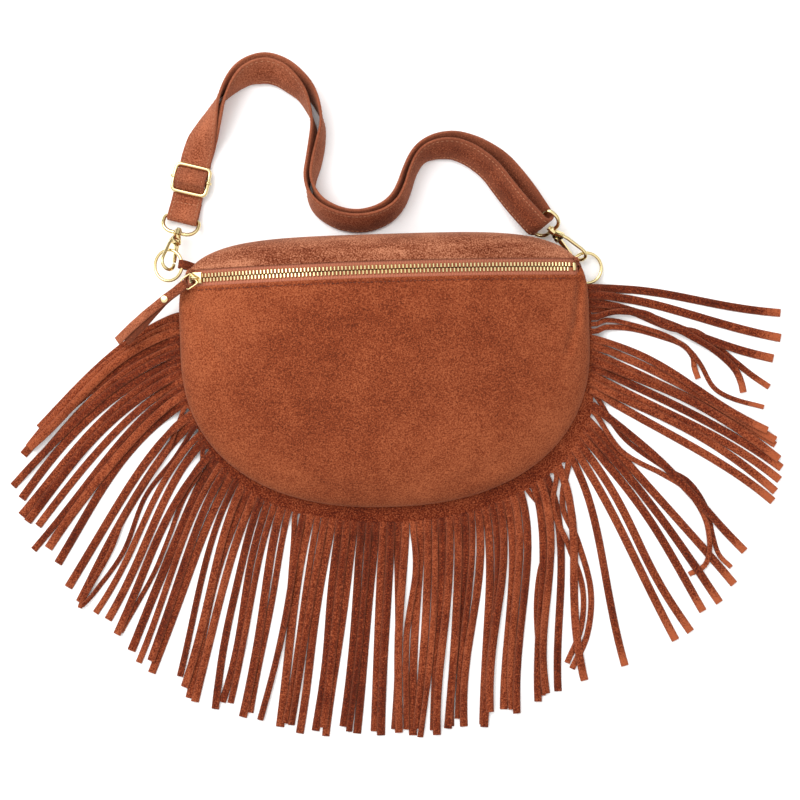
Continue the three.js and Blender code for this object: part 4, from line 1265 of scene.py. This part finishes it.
# strands that go their own way: share of the seam, width as a share of the others', points past the root
strayStrands = [
    (0.955, 0.85, [(189, 44), (201, 45), (222, 42), (238, 32), (251, 27), (279, 10), (295, -5),
                   (301, -17), (303, -27)]),
    (0.968, 0.75, [(189, 47), (206, 46), (230, 35), (245, 29), (264, 26), (279, 15), (295, 1),
                   (310, -12), (325, -23)]),
    (0.945, 0.6, [(189, 38), (208, 34), (237, 24), (256, 12), (268, -4), (278, -22), (294, -32), (320, -40)]),
    (0.935, 0.7, [(189, 32), (211, 30), (237, 22), (253, 15), (261, 5), (262, -4), (265, -14)]),
    (0.845, 0.6, [(200, -62), (233, -88), (254, -101), (268, -123), (273, -147), (278, -164), (288, -175)]),
    (0.815, 0.65, [(198, -74), (232, -94), (252, -108), (266, -130), (270, -152), (266, -172), (252, -180)]),
    (0.690, 0.6, [(126, -116), (134, -132), (134, -150), (125, -174), (121, -214), (125, -279)]),
    (0.745, 0.75, [(146, -118), (158, -148), (168, -190), (164, -228), (150, -257)]),
    (0.725, 0.7, [(138, -120), (150, -152), (161, -187), (159, -222), (146, -252)]),
    (0.140, 0.6, [(-188, -62), (-221, -106), (-239, -145), (-262, -183), (-266, -192)]),
    (0.165, 0.6, [(-182, -68), (-208, -100), (-228, -146), (-254, -180), (-264, -190)]),
    (0.205, 0.6, [(-160, -80), (-176, -104), (-200, -160), (-232, -214)]),
    (0.355, 0.7, [(-78, -122), (-84, -150), (-92, -210), (-116, -292)]),
    (0.525, 0.8, [(14, -135), (20, -170), (10, -230), (8, -304)]),
]


def strayLine(root, out, points):
    beyond = [np.array(p, float) for p in points if (np.array(p) - root) @ out > 13]
    rows = [root, root + out * 6] + beyond
    return np.array([catmullRom(rows, t) for t in np.linspace(0, 1, 60)])


strands = strandLines()
for way, share, points in strayStrands:
    strand = strands[clampIndex(int(way * fringeLook["strands"]), len(strands))]
    root, out = fringeRoot(strand["way"], strand["distance"])
    strand["line"] = strayLine(root, out, points)
    strand["width"] = share
order = sorted(strands, key=lambda s: (s["index"] % 3, s["index"]))
laid = {strand["index"]: layStrand(strand) for strand in order}
print("strands laid")


def bandMesh(first, last):  # the uncut band along the seam, with its edge tucked in under the body
    steps, thick = fringeLook["bandSteps"], fringeLook["thickness"]
    upper = []
    for i in range(steps + 1):
        way = lerp(first, last, i / steps)
        band = rowAt(fringeLook["band"], way)[0]
        edge, _ = fringeRoot(way, 0)
        for distance in [band * share for share in fringeLook["bandShares"]] + [fringeLook["tucked"]]:
            place, _ = fringeRoot(way, distance)
            upper.append((*place, fringeRise(edge, max(distance, 0)) + thick + 0.02))
    points = np.concatenate([upper, np.array(upper) - [0, 0, thick]])
    return points, facingOut(points, shellFaces(steps, len(fringeLook["bandShares"]), False))


def fringePiece(index, name, node):
    count = fringeLook["strands"]
    first, last = round(index * count / 4), round((index + 1) * count / 4)
    points, faces = bandMesh(first / count, last / count)
    points = list(points)
    tones, cut = [fringeLook["bandTone"]] * len(points), [0] * len(points)
    for i in range(first, last):
        rings, ringCount, strandTones, strandCut = laid[i]
        faces += shifted(facingOut(rings, loftFaces(ringCount, len(edgeShares))), len(points))
        points += rings
        tones += strandTones
        cut += strandCut
    piece = makeObject(name, points, faces, "suedeFringeShaded", "bag", "suede_dark", [node], smooth=55,
                       values={"tone": tones, "cutEdge": cut})


fringePiece(0, "fringeLeft", "fringe_left")
fringePiece(1, "fringeLowerLeft", "fringe_lower_left")
fringePiece(2, "fringeLowerRight", "fringe_lower_right")
fringePiece(3, "fringeRight", "fringe_right")
print("fringe made")


# floor, light and camera
studio = {
    "floorSize": 8, "floorColour": "#ffffff", "floorRoughness": 0.9, "floorSpecular": 0.1, "floorZ": -0.0002,
    "world": 1.22, "worldPlaces": (0.1, 0.38, 0.62),  # from dark below to white above
    "worldColours": [(0.03, 0.025, 0.02, 1), (0.45, 0.43, 0.41, 1), (1, 1, 1, 1)],
    "keyPower": 34, "keySize": 1.7, "keyAt": (-0.9, 1.0, 1.5),
    "cameraAt": (0.01115, -0.0242, 1.3), "turn": -1.8, "lens": 68.8, "sensor": 36,
}


def makeFloor():
    bpy.ops.mesh.primitive_plane_add(size=studio["floorSize"], location=(0, 0, studio["floorZ"]))
    floor = bpy.context.active_object
    floor.name = "floor"
    made, _, shader = newMaterial("paleFloor")
    setInputs(shader, {
        "Base Color": colourOf(studio["floorColour"]), "Roughness": studio["floorRoughness"],
        "Specular IOR Level": studio["floorSpecular"],
    })
    floor.data.materials.append(made)


def makeLights():
    world = bpy.data.worlds.new("softRoom")
    world.use_nodes = True
    tree = world.node_tree
    background = tree.nodes["Background"]
    split = tree.nodes.new("ShaderNodeSeparateXYZ")
    tree.links.new(tree.nodes.new("ShaderNodeTexCoord").outputs["Generated"], split.inputs[0])
    shade = rampOf(tree, split.outputs["Z"], studio["worldPlaces"], studio["worldColours"])
    tree.links.new(shade, background.inputs["Color"])
    background.inputs["Strength"].default_value = studio["world"]
    bpy.context.scene.world = world
    key = bpy.data.lights.new("keyLight", "AREA")
    key.energy = studio["keyPower"]
    key.size = studio["keySize"]
    lamp = bpy.data.objects.new("keyLight", key)
    lamp.location = studio["keyAt"]
    lamp.rotation_euler = (-Vector(studio["keyAt"])).to_track_quat("-Z", "Y").to_euler()
    bpy.context.scene.collection.objects.link(lamp)


def makeCamera():
    data = bpy.data.cameras.new("camera")
    data.lens = studio["lens"]
    data.sensor_width = studio["sensor"]
    camera = bpy.data.objects.new("camera", data)
    camera.location = studio["cameraAt"]
    camera.rotation_euler = (0, 0, math.radians(studio["turn"]))
    bpy.context.scene.collection.objects.link(camera)
    bpy.context.scene.camera = camera


makeFloor()
makeLights()
makeCamera()
bpy.context.scene.view_settings.view_transform = "Standard"
print("studio ready")
